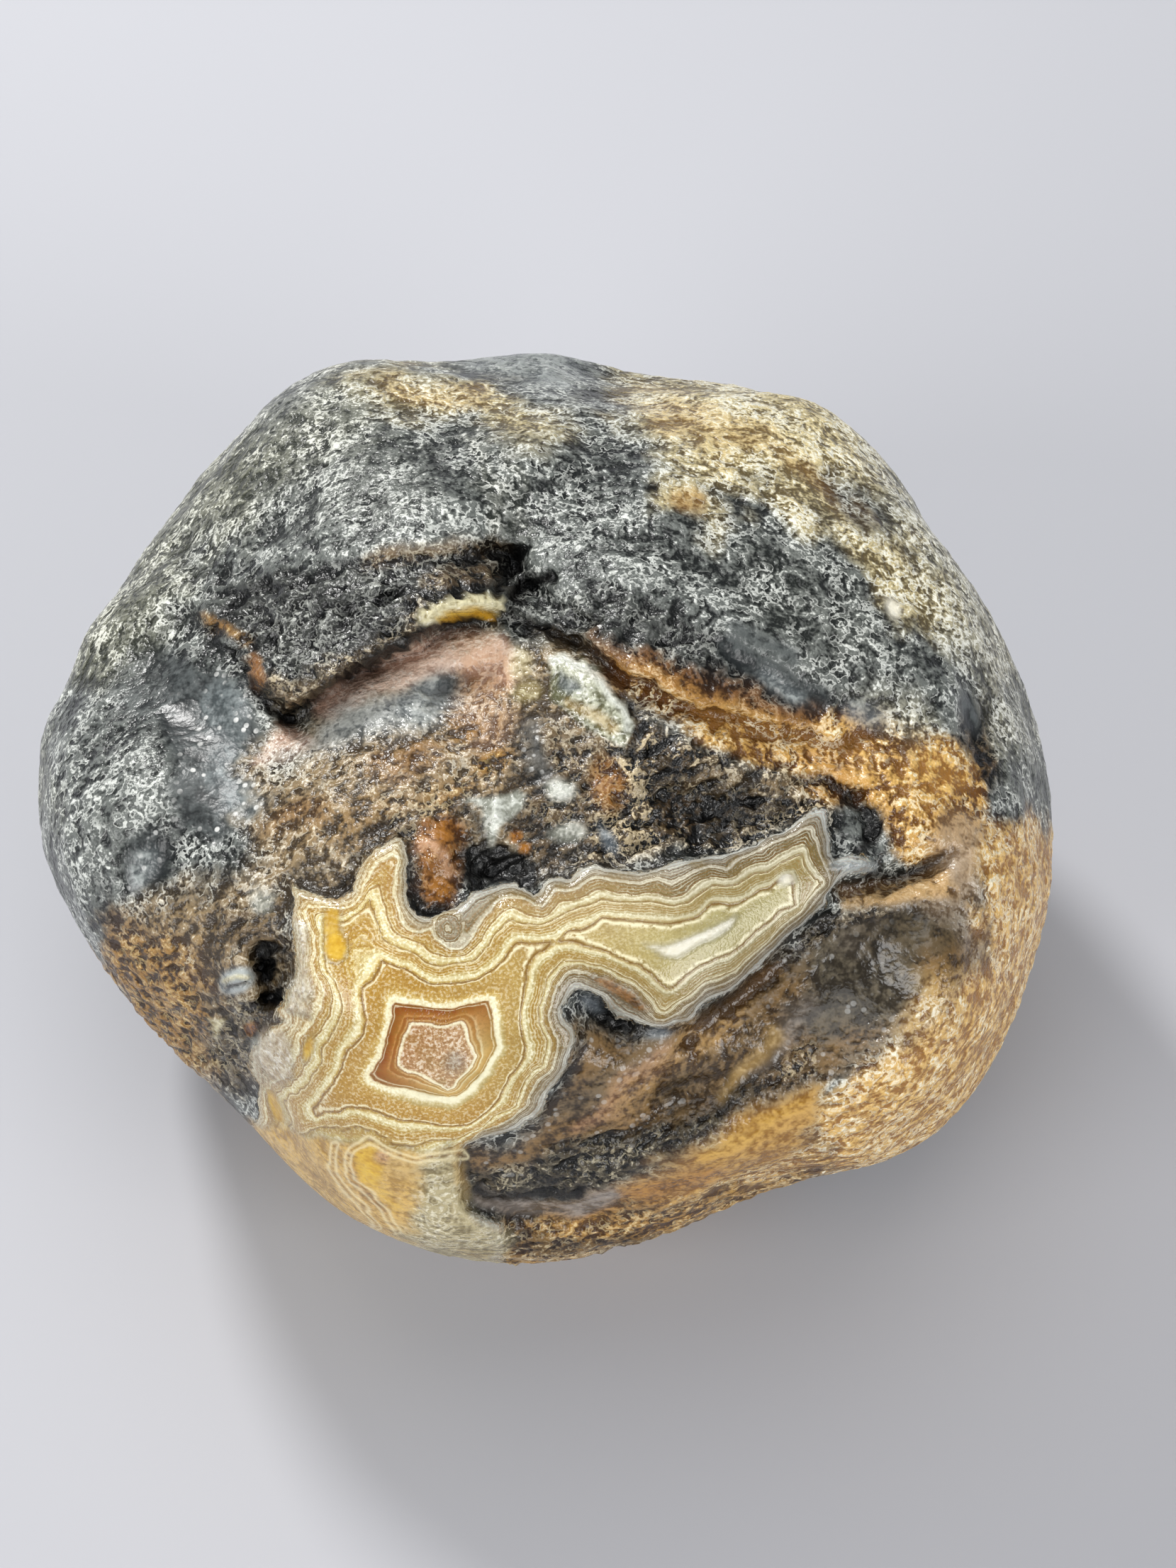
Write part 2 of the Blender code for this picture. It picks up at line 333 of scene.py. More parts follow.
@dataclass(frozen=True)
class Hollow(Oval):
    """A rounded hollow in the face, or a lump where its depth is negative."""

    depth: float = 1.0

    def height(self, across: Array, up: Array) -> Array:
        """The height that it adds to each place."""
        x, y = self.shares(across, up)
        return -self.depth * np.exp(-(x**2 + y**2))


@dataclass(frozen=True)
class Furrow:
    """A rounded furrow along (across, up, depth) points, or a ridge where the depth is negative."""

    points: Sequence[Triple]
    width: float

    def height(self, across: Array, up: Array) -> Array:
        """The height that it adds to each place."""
        away, depth = valued_line(across, up, self.points)
        return -depth * np.exp(-((away / self.width) ** 2))


@dataclass(frozen=True)
class Pebble:
    """The stone's form, with the sizes of its CAD solid and the finer relief of its broken skin."""

    half_sizes: Triple = (35.0, 32.5, 23.5)
    boxiness: float = 2.35
    rest_round: float = 0.6
    cells: int = 128  # along each side of the cube that the mesh starts as
    focus: Triple = (-1.0, -6.0, 26.0)  # the mesh is finest round this place, across, up and near
    focus_share: float = 0.42
    outline: Line = (
        (0, 35.0), (15, 33.8), (30, 32.5), (50, 33.0), (63, 32.4), (79, 30.7), (90, 31.3),
        (101, 31.5), (118, 33.4), (130, 33.6), (145, 33.1), (165, 33.3), (181, 34.8), (200, 32.6),
        (224, 30.4), (245, 31.9), (262, 32.1), (290, 30.8), (302, 31.3), (319, 35.2), (340, 35.5),
    )
    brow: Sequence[Triple] = (
        (-26.5, 15.5, 0.0), (-24.0, 12.7, 1.2), (-21.6, 10.5, 2.0), (-20.2, 8.3, 2.6),
        (-17.8, 6.2, 3.2), (-15.0, 7.8, 3.5), (-10.7, 10.5, 3.6), (-7.5, 12.1, 3.4),
        (-5.0, 13.0, 3.0), (-2.8, 13.4, 2.4), (-0.6, 12.6, 2.2), (1.0, 11.6, 2.4),
        (3.4, 10.5, 2.5), (8.3, 7.8, 2.2), (14.2, 5.6, 1.9), (19.7, 4.8, 1.2), (24.5, 6.0, 0.0),
    )
    brow_over: Line = ((40.0, 8.0), (40.0, 45.0), (-40.0, 45.0), (-40.0, 17.0))
    brow_edge: float = 0.45
    brow_reach: float = 16.0
    shelf_reach: float = 8.0
    shelf_share: float = 0.6
    window_rise: float = 1.0
    window_edge: float = 0.45
    swells: Sequence[tuple[float, int, float]] = ((23.0, 3, 0.75), (8.0, 8, 0.18))
    swell_from: Point = (0.5, 9.0)  # how far off the outline a swell starts, and where it is full
    cut_from: Point = (1.0, 7.0)  # the same for the cuts of the face
    torn: float = 0.7  # how far a broken edge wanders
    torn_length: float = 3.4
    fine_torn: float = 0.3  # the share of that wander that the finer cuts have
    far_dents: Sequence[tuple[Triple, float, float]] = (
        ((4.0, 24.0, 16.0), 9.0, 1.4), ((-16.0, 26.0, -4.0), 10.0, 1.6),
        ((15.0, 27.0, -9.0), 9.0, 1.5), ((-2.0, 32.0, -4.0), 10.0, -1.0),
        ((20.0, -6.0, -20.0), 9.0, 1.3), ((-25.0, 4.0, -16.0), 8.0, 1.2),
    )

    def cube(self) -> bpy.types.Mesh:
        """Makes the mesh that the stone is drawn from: a cube of side 2, cut into even cells."""
        cube = bmesh.new()
        bmesh.ops.create_cube(cube, size=2.0)
        bmesh.ops.subdivide_edges(cube, edges=cube.edges[:], cuts=self.cells - 1, use_grid_fill=True)
        mesh = bpy.data.meshes.new("banded_agate")
        cube.to_mesh(mesh)
        cube.free()
        return mesh

    def shaped(self, cube: Array) -> Array:
        """The stone's points before its skin is roughened, from the points of the cube."""
        pebble = self.fit_outline(self.rough_form(self.directions(cube)))
        return self.carve(self.swell(pebble))

    def directions(self, cube: Array) -> Array:
        """Turns points on the cube to directions from the stone's middle.

        Args:
            cube: Points on a cube of side 2.

        Returns:
            Unit directions, closest together round the focus.
        """
        even = np.tan(cube * math.pi / 4)
        even /= np.linalg.norm(even, axis=1, keepdims=True)
        face = self.focus @ np.array((VIEWER.right, VIEWER.up, -VIEWER.forward))
        face /= np.linalg.norm(face)
        turn = Vector((0, 0, 1)).rotation_difference(Vector(face)).to_matrix()
        even = even @ np.array(turn).T
        angle = np.arccos(np.clip(even @ face, -1, 1))
        drawn = angle - self.focus_share * np.sin(angle)
        aside = even - np.outer(even @ face, face)
        aside /= np.maximum(np.linalg.norm(aside, axis=1, keepdims=True), 1e-9)
        return np.outer(np.cos(drawn), face) + aside * np.sin(drawn)[:, None]

    def rough_form(self, unit: Array) -> Array:
        """The boxy pebble before carving, for unit directions from its middle."""
        size = (np.abs(unit) ** self.boxiness).sum(axis=1) ** (-1 / self.boxiness)
        return unit * size[:, None] * self.half_sizes + VIEWER.centre

    def wanted_radius(self, angle: Array) -> Array:
        """The outline's radius at any angle, by a smooth closed curve through its points."""
        turn = 2 * math.pi
        corner = np.radians([degrees for degrees, _ in self.outline])
        radius = np.array([distance for _, distance in self.outline])
        slope = (np.roll(radius, -1) - np.roll(radius, 1)) / (
            (np.roll(corner, -1) - np.roll(corner, 1)) % turn)
        here = np.searchsorted(corner, angle, side="right") - 1
        there = (here + 1) % len(corner)
        width = (corner[there] - corner[here]) % turn
        t = (angle - corner[here]) / width
        return (
            (2 * t**3 - 3 * t**2 + 1) * radius[here] + (t**3 - 2 * t**2 + t) * slope[here] * width
            + (3 * t**2 - 2 * t**3) * radius[there] + (t**3 - t**2) * slope[there] * width
        )

    def fit_outline(self, points: Array, bins: int = 90) -> Array:
        """Stretches the stone across the view, so that the viewer sees its outline."""
        across, up, near = VIEWER.seen(points)
        angle = np.arctan2(up, across) % (2 * math.pi)
        apparent = np.hypot(across, up)
        widest = np.zeros(bins)
        np.maximum.at(widest, np.floor(angle / (2 * math.pi) * bins).astype(int) % bins, apparent)
        middles = (np.arange(bins) + 0.5) * 2 * math.pi / bins
        rim = np.interp(angle, middles, widest, period=2 * math.pi)
        scale = 1 + (self.wanted_radius(angle) / rim - 1) * smooth_step(apparent / rim, 0.0, 0.9)
        return VIEWER.placed(across * scale, up * scale, near)

    def swell(self, points: Array) -> Array:
        """Adds the uneven swells and the far hollows, leaving the outline as it is."""
        free = smooth_step(np.abs(VIEWER.before_rim(points)), *self.swell_from)
        outward = points - VIEWER.centre
        outward /= np.linalg.norm(outward, axis=1, keepdims=True)
        height = sum(depth * ripple(points, length, seed) for length, seed, depth in self.swells)
        for middle, radius, depth in self.far_dents:
            away = np.linalg.norm(points - VIEWER.centre - middle, axis=1)
            height = height - depth * np.exp(-((away / radius) ** 2))
        return points + outward * (height * free)[:, None]

    def brow_height(self, across: Array, up: Array) -> Array:
        """The step from the shoulders down to the shelf."""
        away, height = valued_line(across, up, self.brow)
        edge = [(x, y) for x, y, _ in self.brow]
        side = np.where(inside(across, up, [*edge, *self.brow_over]), away, -away)
        over = smooth_step(side, -self.brow_edge, self.brow_edge)
        built = height * (1 - self.shelf_share) * over * np.exp(-np.maximum(side, 0) / self.brow_reach)
        cut = height * self.shelf_share * (1 - over) * np.exp(-np.maximum(-side, 0) / self.shelf_reach)
        return built - cut

    def carve(self, points: Array) -> Array:
        """Cuts and raises the seen face, with ragged edges where the real stone is broken.

        Args:
            points: The swelled pebble.

        Returns:
            The points, moved along the viewer's lines of sight.
        """
        across, up, near = VIEWER.seen(points)
        front = smooth_step(VIEWER.before_rim(points), *self.cut_from)
        wander, sway = (self.torn * cloudy(points, self.torn_length, 4, seed) for seed in (1, 2))
        relief = self.brow_height(across + wander, up + sway)
        edge = plot_depth(across, up, BANDS.rim)
        relief += self.window_rise * smooth_step(edge, -self.window_edge, self.window_edge)
        for cut in [*HOLLOWS.values(), *FURROWS.values()]:
            relief += cut.height(across, up)
        for cut in DETAILS:
            relief += cut.height(across + self.fine_torn * wander, up + self.fine_torn * sway)
        return VIEWER.placed(across, up, near + relief * front)

    def wear_flat(self, points: Array) -> Array:
        """Wears the underside to the flat spot that the stone rests on, at height 0."""
        height = points[:, 2]
        rounded = np.maximum(height + self.rest_round, 0) ** 2 / (4 * self.rest_round)
        points[:, 2] = np.where(height > self.rest_round, height, rounded)
        return points


# The larger hollows and lumps of the face, as in the CAD solid
HOLLOWS = {
    "broad fall below the brow": Hollow((-2.0, 1.0), (24.0, 10.0), 4, 2.0),
    "left shoulder": Hollow((-12.5, 19.0), (11.0, 7.5), 14, -1.4),
    "right shoulder": Hollow((10.5, 16.5), (11.5, 9.0), -22, -1.7),
    "rim over the left shoulder": Hollow((-14.0, 30.0), (12.0, 4.0), 10, -0.8),
    "flat chip on the top rim": Hollow((-0.6, 30.8), (6.0, 2.4), -6, 1.3),
    "glassy chip on the left": Hollow((-22.0, 4.2), (4.4, 6.4), 22, 1.7),
    "small chip on the left rim": Hollow((-26.8, -4.4), (2.4, 4.0), -20, 1.2),
    "cavity beside the window": Hollow((-19.0, -12.4), (1.5, 3.0), 8, 2.0),
    "black pit over the window": Hollow((-4.0, -4.6), (3.0, 1.7), -6, 1.5),
    "undercut below the arm": Hollow((4.6, -14.8), (2.7, 1.9), -22, 2.3),
    "smoky hollow": Hollow((17.6, -12.0), (7.6, 4.8), 38, 3.0),
    "valley below the arm": Hollow((8.0, -19.0), (8.0, 4.2), 34, 2.2),
    "dark recess over the arm": Hollow((10.6, -0.6), (4.6, 2.0), 8, 1.4),
    "chip on the right shoulder": Hollow((14.9, 8.7), (4.2, 1.3), -30, 0.9),
    "chip near the right edge": Hollow((30.4, 5.0), (1.3, 3.4), 14, 1.0),
    "orange nodule": Hollow((-7.6, -3.6), (1.9, 2.4), 0, -1.3),
    "knob left of the window": Hollow((-21.2, -12.6), (1.5, 1.6), 0, -1.1),
    "amber cheek": Hollow((13.5, 2.0), (7.0, 3.0), -24, -1.0),
    "belly of the shelf": Hollow((-11.0, 2.0), (8.0, 4.6), 12, -1.7),
    "pale worm": Hollow((2.9, 7.2), (1.4, 3.6), 36, -0.9),
    "notch in the bottom edge": Hollow((14.0, -28.4), (2.6, 1.4), 20, 1.2),
}

# The larger furrows and ridges of the face, as in the CAD solid
FURROWS = {
    "valley between the shoulders": Furrow(
        [(6.8, 31.0, 2.4), (4.2, 26.5, 2.0), (0.8, 22.0, 1.8), (-1.8, 18.4, 1.8)], 4.0),
    "crevice at its foot": Furrow(
        [(-2.6, 18.0, 0.4), (-2.2, 16.0, 1.8), (-0.4, 13.8, 2.2), (2.0, 11.8, 1.4)], 1.2),
    "crack over the lip": Furrow(
        [(-21.0, 15.6, 0.0), (-15.0, 16.2, 0.8), (-8.0, 16.4, 1.0), (-3.4, 17.2, 1.2)], 0.9),
    "crease under the left lip": Furrow(
        [(-20.2, 7.2, 0.4), (-17.4, 5.4, 1.2), (-11.0, 9.4, 1.3), (-5.0, 12.0, 1.0)], 1.1),
    "channel under the window": Furrow(
        [(-5.6, -26.6, 0.6), (-2.0, -28.4, 1.8), (3.4, -28.6, 1.6), (7.6, -26.4, 0.4)], 1.4),
    "crack by the arm's tip": Furrow(
        [(20.6, -6.0, 0.6), (23.4, -5.4, 1.6), (26.4, -4.6, 1.6), (28.6, -3.0, 0.3)], 0.9),
    "edge under the arm": Furrow([(9.8, -16.2, 1.2), (14.6, -12.4, 1.1), (19.2, -8.0, 0.9)], 1.0),
    "fold over the heel": Furrow([(3.6, -24.0, 0.4), (9.0, -20.6, 1.2), (15.4, -18.2, 0.5)], 1.3),
    "amber rim": Furrow(
        [(28.6, -1.0, 0.0), (29.2, -8.0, -1.4), (27.4, -15.0, -2.0), (20.0, -22.6, -2.0),
         (11.0, -25.8, -1.8), (3.0, -27.6, 0.0)], 3.6),
    "ridge between the folds": Furrow([(2.6, -21.0, 0.0), (7.4, -16.8, -0.9), (12.8, -14.4, 0.0)], 1.4),
}

# Finer cuts that only the dense mesh holds
DETAILS = (
    Furrow([(-16.0, 6.4, -0.5), (-12.4, 8.4, -1.0), (-8.4, 10.4, -1.2), (-5.0, 11.4, -1.0),
        (-2.8, 11.0, -0.4)], 1.7),
    Furrow([(-20.6, 8.0, 0.3), (-17.6, 5.6, 1.0), (-14.0, 8.2, 1.3), (-10.4, 10.4, 1.3),
        (-7.6, 11.8, 1.2), (-5.0, 12.2, 0.6)], 0.55),
    Furrow([(-8.6, 13.2, -0.3), (-7.1, 13.7, -0.9), (-5.0, 14.0, -0.9), (-3.4, 13.6, -0.4)], 0.6),
    Furrow([(-3.6, 17.4, 0.6), (-2.0, 16.8, 1.4), (-2.6, 15.6, 1.2), (-3.2, 14.6, 0.8)], 0.4),
    Furrow([(-2.2, 14.4, 0.9), (-0.8, 15.0, 1.2), (0.2, 15.6, 0.4)], 0.4),
    Furrow([(-16.0, 13.4, 0.0), (-12.0, 13.9, 0.6), (-8.0, 15.0, 0.5)], 0.5),
    Furrow([(0.2, 10.2, -0.4), (2.2, 9.4, -0.6), (4.0, 8.2, -0.6), (5.4, 6.0, -0.4)], 0.8),
    Furrow([(16.6, 1.4, 0.3), (19.2, 1.4, 0.8), (21.6, 0.2, 0.9), (22.2, -2.0, 0.7)], 0.5),
    Furrow([(28.9, 6.2, 0.4), (29.6, 4.6, 1.0), (30.2, 3.2, 0.4)], 0.5),
    Furrow([(20.0, -5.6, 0.2), (23.6, -6.8, -0.6), (27.0, -6.0, -0.2)], 0.8),
    Hollow((-19.7, -11.4), (0.7, 1.2), 10, 1.4),
    Hollow((-19.2, -13.6), (0.7, 0.9), 0, 1.2),
    Hollow((7.3, 21.7), (0.35, 0.3), 0, 0.9),
    Hollow((-27.6, 8.0), (2.5, 3.0), 0, 0.4),
    Hollow((-3.4, 0.0), (1.4, 1.1), -30, -0.35),
    Hollow((1.0, 0.8), (1.1, 0.9), 0, -0.35),
)


@dataclass(frozen=True)
class Bands:
    """The contours of the banded window, each inside the one before, and its level at any place."""

    rim: Line = (
        (-17.7, -5.7), (-16.6, -6.2), (-14.6, -6.6), (-13.6, -6.0), (-13.2, -5.0), (-12.6, -3.9),
        (-12.0, -3.2), (-10.3, -2.3), (-9.9, -2.6), (-9.7, -5.8), (-9.5, -7.0), (-9.0, -7.8),
        (-8.4, -8.1), (-7.0, -7.6), (-6.3, -7.2), (-5.6, -6.6), (-5.2, -6.1), (-3.2, -5.6), (-2.2, -5.6),
        (-1.0, -6.5), (-0.6, -6.3), (-0.5, -5.6), (0.2, -5.2), (1.4, -5.4), (1.8, -5.1), (2.2, -4.6),
        (2.8, -4.2), (3.4, -4.1), (4.2, -4.5), (5.2, -4.7), (6.4, -4.8), (7.6, -4.6), (8.6, -4.1),
        (10.8, -3.7), (12.0, -3.7), (12.8, -3.4), (13.6, -3.0), (14.4, -3.1), (14.8, -2.5), (15.6, -2.0),
        (16.4, -2.0), (17.0, -1.5), (17.5, -0.9), (18.0, -0.6), (18.8, -0.4), (19.5, -0.4), (19.4, -1.6),
        (19.5, -2.6), (19.4, -3.6), (19.9, -3.9), (20.8, -3.6), (22.0, -3.6), (22.6, -4.0), (22.6, -4.8),
        (20.4, -5.2), (19.3, -6.2), (19.3, -7.2), (17.8, -8.3), (17.0, -8.8), (16.4, -9.4), (16.0, -10.0),
        (14.0, -11.9), (12.8, -12.9), (11.8, -13.6), (10.6, -14.2), (10.0, -15.0), (8.2, -15.5),
        (7.2, -15.5), (6.2, -15.3), (5.2, -15.0), (3.6, -13.6), (2.8, -13.0), (2.0, -12.9), (1.5, -13.4),
        (1.1, -14.2), (1.3, -15.0), (1.9, -15.4), (2.0, -16.2), (1.8, -17.2), (1.2, -18.4), (0.0, -20.4),
        (-0.5, -21.4), (-0.9, -22.0), (-3.6, -23.0), (-4.6, -23.2), (-5.6, -23.6), (-6.2, -24.5),
        (-6.0, -26.0), (-6.0, -27.5), (-5.6, -28.2), (-3.0, -29.0), (-3.0, -31.5), (-4.0, -34.0),
        (-20.0, -34.0), (-24.0, -26.0), (-20.0, -21.8), (-20.0, -20.6), (-19.9, -19.6), (-20.6, -18.6),
        (-20.8, -17.4), (-20.0, -16.4), (-19.2, -15.6), (-18.4, -15.2), (-18.8, -14.9), (-18.9, -14.2),
        (-18.3, -13.6), (-18.2, -12.8), (-17.6, -12.4), (-17.4, -11.2), (-17.7, -8.5), (-17.6, -7.0),
    )
    first: Line = (
        (-6.0, -9.9), (-5.2, -9.1), (-4.4, -7.8), (-3.8, -7.4), (-3.2, -6.7), (-2.0, -6.7), (-1.2, -7.0),
        (-0.4, -7.1), (0.2, -6.6), (0.6, -6.1), (1.4, -6.2), (2.2, -6.0), (2.6, -5.5), (3.2, -5.1),
        (5.0, -5.5), (6.4, -5.6), (7.6, -5.3), (8.6, -5.7), (10.4, -4.7), (11.2, -4.4), (12.4, -4.6),
        (13.2, -3.9), (14.4, -3.4), (15.4, -2.7), (16.6, -2.4), (17.6, -1.9), (18.2, -1.7), (18.8, -3.6),
        (19.2, -4.3), (19.4, -5.6), (18.8, -6.4), (18.3, -7.2), (17.4, -8.0), (16.6, -8.5), (13.4, -11.7),
        (12.2, -12.5), (10.8, -13.2), (9.8, -13.9), (9.0, -14.6), (8.3, -15.0), (7.6, -14.9),
        (6.6, -13.9), (5.8, -13.2), (4.8, -12.6), (3.0, -11.7), (2.0, -11.6), (1.2, -11.9), (0.6, -12.6),
        (0.2, -13.6), (0.1, -14.6), (0.3, -15.6), (0.6, -16.4), (0.6, -17.4), (0.3, -18.4), (-0.6, -19.2),
        (-1.6, -21.0), (-2.4, -21.9), (-4.6, -22.7), (-5.4, -23.4), (-6.6, -25.0), (-6.9, -27.0),
        (-6.6, -29.0), (-6.0, -34.0), (-19.0, -34.0), (-22.0, -26.5), (-19.4, -21.8), (-19.6, -20.8),
        (-19.5, -19.7), (-18.6, -19.3), (-17.8, -18.4), (-17.4, -17.4), (-17.2, -16.2), (-16.6, -15.6),
        (-16.0, -14.8), (-15.6, -14.0), (-15.4, -13.2), (-15.6, -12.4), (-16.1, -11.8), (-16.4, -11.0),
        (-16.1, -10.2), (-16.1, -9.2), (-16.4, -8.4), (-16.9, -7.6), (-16.6, -7.1), (-14.4, -7.3),
        (-13.5, -7.0), (-13.0, -6.4), (-12.8, -5.8), (-11.8, -4.2), (-10.5, -3.3), (-10.3, -4.2),
        (-10.5, -5.2), (-10.6, -6.4), (-10.0, -8.2), (-9.6, -8.7), (-8.8, -8.9), (-8.0, -8.7),
        (-7.6, -9.6), (-6.8, -10.0),
    )
    second: Line = (
        (-6.0, -11.1), (-5.3, -10.9), (-4.6, -10.3), (-4.0, -9.9), (-3.8, -9.4), (-3.4, -8.9),
        (-2.4, -7.9), (-1.6, -8.3), (-0.6, -8.4), (0.2, -8.1), (0.8, -7.7), (1.4, -7.6), (2.6, -7.2),
        (3.8, -6.6), (5.0, -6.9), (6.6, -6.9), (8.6, -7.1), (9.8, -6.8), (11.4, -5.8), (12.0, -5.9),
        (13.2, -5.7), (14.2, -5.0), (15.2, -4.9), (16.0, -4.3), (17.6, -3.5), (17.9, -4.6), (18.4, -5.3),
        (19.0, -5.5), (18.6, -5.9), (18.1, -6.6), (17.4, -7.4), (16.4, -8.2), (14.6, -10.1),
        (12.8, -11.6), (10.4, -12.8), (8.3, -14.4), (7.8, -14.2), (7.2, -13.5), (6.4, -12.8),
        (5.6, -12.3), (4.6, -11.9), (3.6, -11.3), (2.6, -11.0), (1.0, -11.1), (0.4, -11.6), (-0.3, -13.0),
        (-0.7, -14.2), (-0.5, -15.4), (-0.1, -16.4), (-0.2, -17.2), (-0.2, -18.2), (-0.9, -18.6),
        (-1.6, -19.2), (-2.2, -21.0), (-2.8, -21.4), (-3.8, -21.6), (-4.6, -22.4), (-5.4, -23.0),
        (-6.6, -23.2), (-7.8, -23.3), (-9.4, -23.7), (-10.6, -23.4), (-11.8, -22.8), (-13.0, -22.5),
        (-14.4, -22.4), (-15.8, -22.4), (-17.0, -22.9), (-17.9, -22.8), (-17.7, -22.0), (-18.1, -20.5),
        (-17.4, -20.0), (-16.8, -19.8), (-16.2, -18.8), (-15.6, -18.0), (-15.5, -17.0), (-14.4, -15.2),
        (-14.2, -14.2), (-14.3, -13.2), (-14.5, -12.4), (-15.4, -11.4), (-15.7, -10.6), (-15.4, -8.0),
        (-14.2, -8.2), (-13.4, -7.9), (-12.8, -7.3), (-12.3, -6.6), (-12.0, -7.8), (-11.6, -8.6),
        (-11.4, -9.3), (-10.8, -9.9), (-9.0, -10.6), (-8.2, -11.0), (-7.2, -11.3),
    )
    body: Line = (
        (0.2, -9.7), (-0.8, -9.8), (-1.8, -9.6), (-2.4, -10.0), (-3.0, -10.8), (-3.8, -11.6),
        (-4.8, -12.2), (-6.0, -12.5), (-7.8, -12.5), (-8.8, -12.1), (-9.6, -11.6), (-10.6, -11.3),
        (-11.5, -10.9), (-11.7, -11.6), (-12.2, -12.4), (-12.9, -12.9), (-12.9, -13.4), (-12.7, -14.2),
        (-12.6, -15.0), (-12.9, -16.0), (-13.1, -16.4), (-13.9, -17.4), (-14.3, -18.4), (-14.8, -19.4),
        (-16.2, -21.2), (-16.0, -21.8), (-15.4, -21.4), (-13.0, -21.0), (-12.0, -21.2), (-11.0, -21.6),
        (-10.2, -22.0), (-7.0, -22.3), (-5.5, -22.3), (-4.8, -21.7), (-4.0, -21.2), (-3.3, -20.6),
        (-3.0, -19.6), (-2.6, -18.8), (-2.0, -18.3), (-1.5, -17.7), (-1.4, -16.8), (-1.8, -15.6),
        (-1.9, -14.6), (-1.8, -13.4), (-1.3, -11.2), (-0.9, -10.6), (-0.2, -10.2),
    )
    arm: Line = (
        (0.6, -9.75), (1.4, -8.9), (2.4, -8.7), (3.2, -8.4), (3.8, -7.9), (4.6, -8.1), (6.8, -8.3),
        (8.0, -8.3), (9.2, -8.2), (10.4, -7.8), (11.4, -7.0), (12.6, -7.1), (13.4, -6.8), (14.4, -6.1),
        (15.4, -5.8), (16.2, -5.3), (16.9, -5.2), (17.3, -7.0), (16.0, -7.6), (15.0, -8.6), (14.4, -9.1),
        (13.6, -9.9), (12.6, -10.5), (11.4, -11.0), (10.2, -11.4), (8.3, -12.9), (7.2, -11.9),
        (6.2, -11.3), (5.0, -10.8), (3.8, -10.2), (2.8, -9.9), (1.6, -9.7),
    )
    ring: Line = (
        (-10.6, -13.9), (-6.4, -14.3), (-5.0, -14.0), (-4.0, -13.7), (-3.7, -16.8), (-4.2, -17.8),
        (-4.8, -18.8), (-5.6, -19.9), (-6.2, -20.3), (-8.2, -20.1), (-10.0, -19.7), (-11.4, -19.2),
        (-12.3, -18.7), (-11.6, -17.9), (-11.0, -16.6),
    )
    core: Line = (
        (-9.5, -15.2), (-7.6, -15.4), (-6.0, -15.3), (-5.5, -16.0), (-5.0, -17.5), (-5.6, -18.6),
        (-6.4, -19.6), (-6.8, -19.8), (-8.0, -19.3), (-10.4, -18.1), (-9.9, -16.9),
    )
    heart: Point = (-7.2, -17.2)  # the middle of the core
    eye: Point = (-6.8, -8.6)  # a small round of rings near the window's upper edge
    eye_radius: float = 1.25
    threads: Sequence[Line] = (
        ((-5.8, -24.3), (-7.4, -24.4), (-9.0, -24.6), (-10.4, -24.3), (-11.4, -23.8), (-12.4, -23.4),
         (-13.5, -23.9), (-13.9, -25.0), (-13.4, -26.2), (-12.2, -27.2), (-11.2, -28.2), (-10.4, -29.6)),
        ((-14.6, -23.6), (-15.0, -25.0), (-14.2, -26.6), (-12.9, -27.9), (-11.8, -29.4)),
    )
    least_gap: float = 0.16
    arm_rise: float = 0.35  # how far the level rises inside the arm, and over how many millimetres
    arm_reach: float = 1.5
    core_reach: float = 1.2
    edge_level: float = 1.06  # the pale rim ends at this level, and the bands round the core start
    ring_level: float = 3.6

    def level(self, across: Array, up: Array) -> Array:
        """How deep in the bands each place lies.

        Args:
            across: Face coordinates to the right.
            up: Face coordinates upward.

        Returns:
            Minus the distance to the window outside it, 0 on its edge, and 1 more at each contour.
        """
        outer, first, second, body, arm, ring, core = (
            plot_depth(across, up, line)
            for line in (self.rim, self.first, self.second, self.body, self.arm, self.ring, self.core))
        level = outer.copy()
        for step, depth in enumerate((first, second, np.maximum(body, arm), ring, core)):
            depth = np.minimum(depth, outer - self.least_gap)
            between = step + outer / np.maximum(outer - depth, 1e-6)
            level = np.where(outer > 0, np.minimum(between, step + 1), level)
            outer = depth
        level = np.where(outer > 0, 5 + np.minimum(outer / self.core_reach, 0.95), level)
        plain = 3 + self.arm_rise * (1 - np.exp(-np.maximum(arm, 0) / self.arm_reach))
        level = np.where(arm > 0, plain, level)
        far = np.hypot(across - self.eye[0], up - self.eye[1])
        rings = 0.8 + 0.2 * np.cos(2 * math.pi * far / self.eye_radius)
        return np.where(far < self.eye_radius, rings, level)

    def warmth(self, across: Array, up: Array, level: Array) -> Array:
        """How warm the bands' colour is, from 0 to 1.

        Args:
            across: Face coordinates to the right.
            up: Face coordinates upward.
            level: The bands' level there.

        Returns:
            More to the left and low down, little on the pale rim, and rusty above and left of the core.
        """
        body = np.clip(0.55 - across / 20 + smooth_step(-up, 19, 24) * 0.4, 0, 1)
        rim = np.clip(-(across + 5) / 8 + smooth_step(-up, 15, 22) * 0.4, 0.2, 1)
        core = np.clip(0.6 + 0.24 * (up - self.heart[1]) - 0.2 * (across - self.heart[0]), 0, 1)
        warmth = np.where(level < self.edge_level, np.minimum(body, rim), body)
        return np.where(level > self.ring_level, core, warmth)

    def thread_distance(self, across: Array, up: Array) -> Array:
        """Distance from each place to the nearest of the thin threads."""
        return reduce(np.minimum, (line_distance(across, up, thread) for thread in self.threads))


BANDS = Bands()


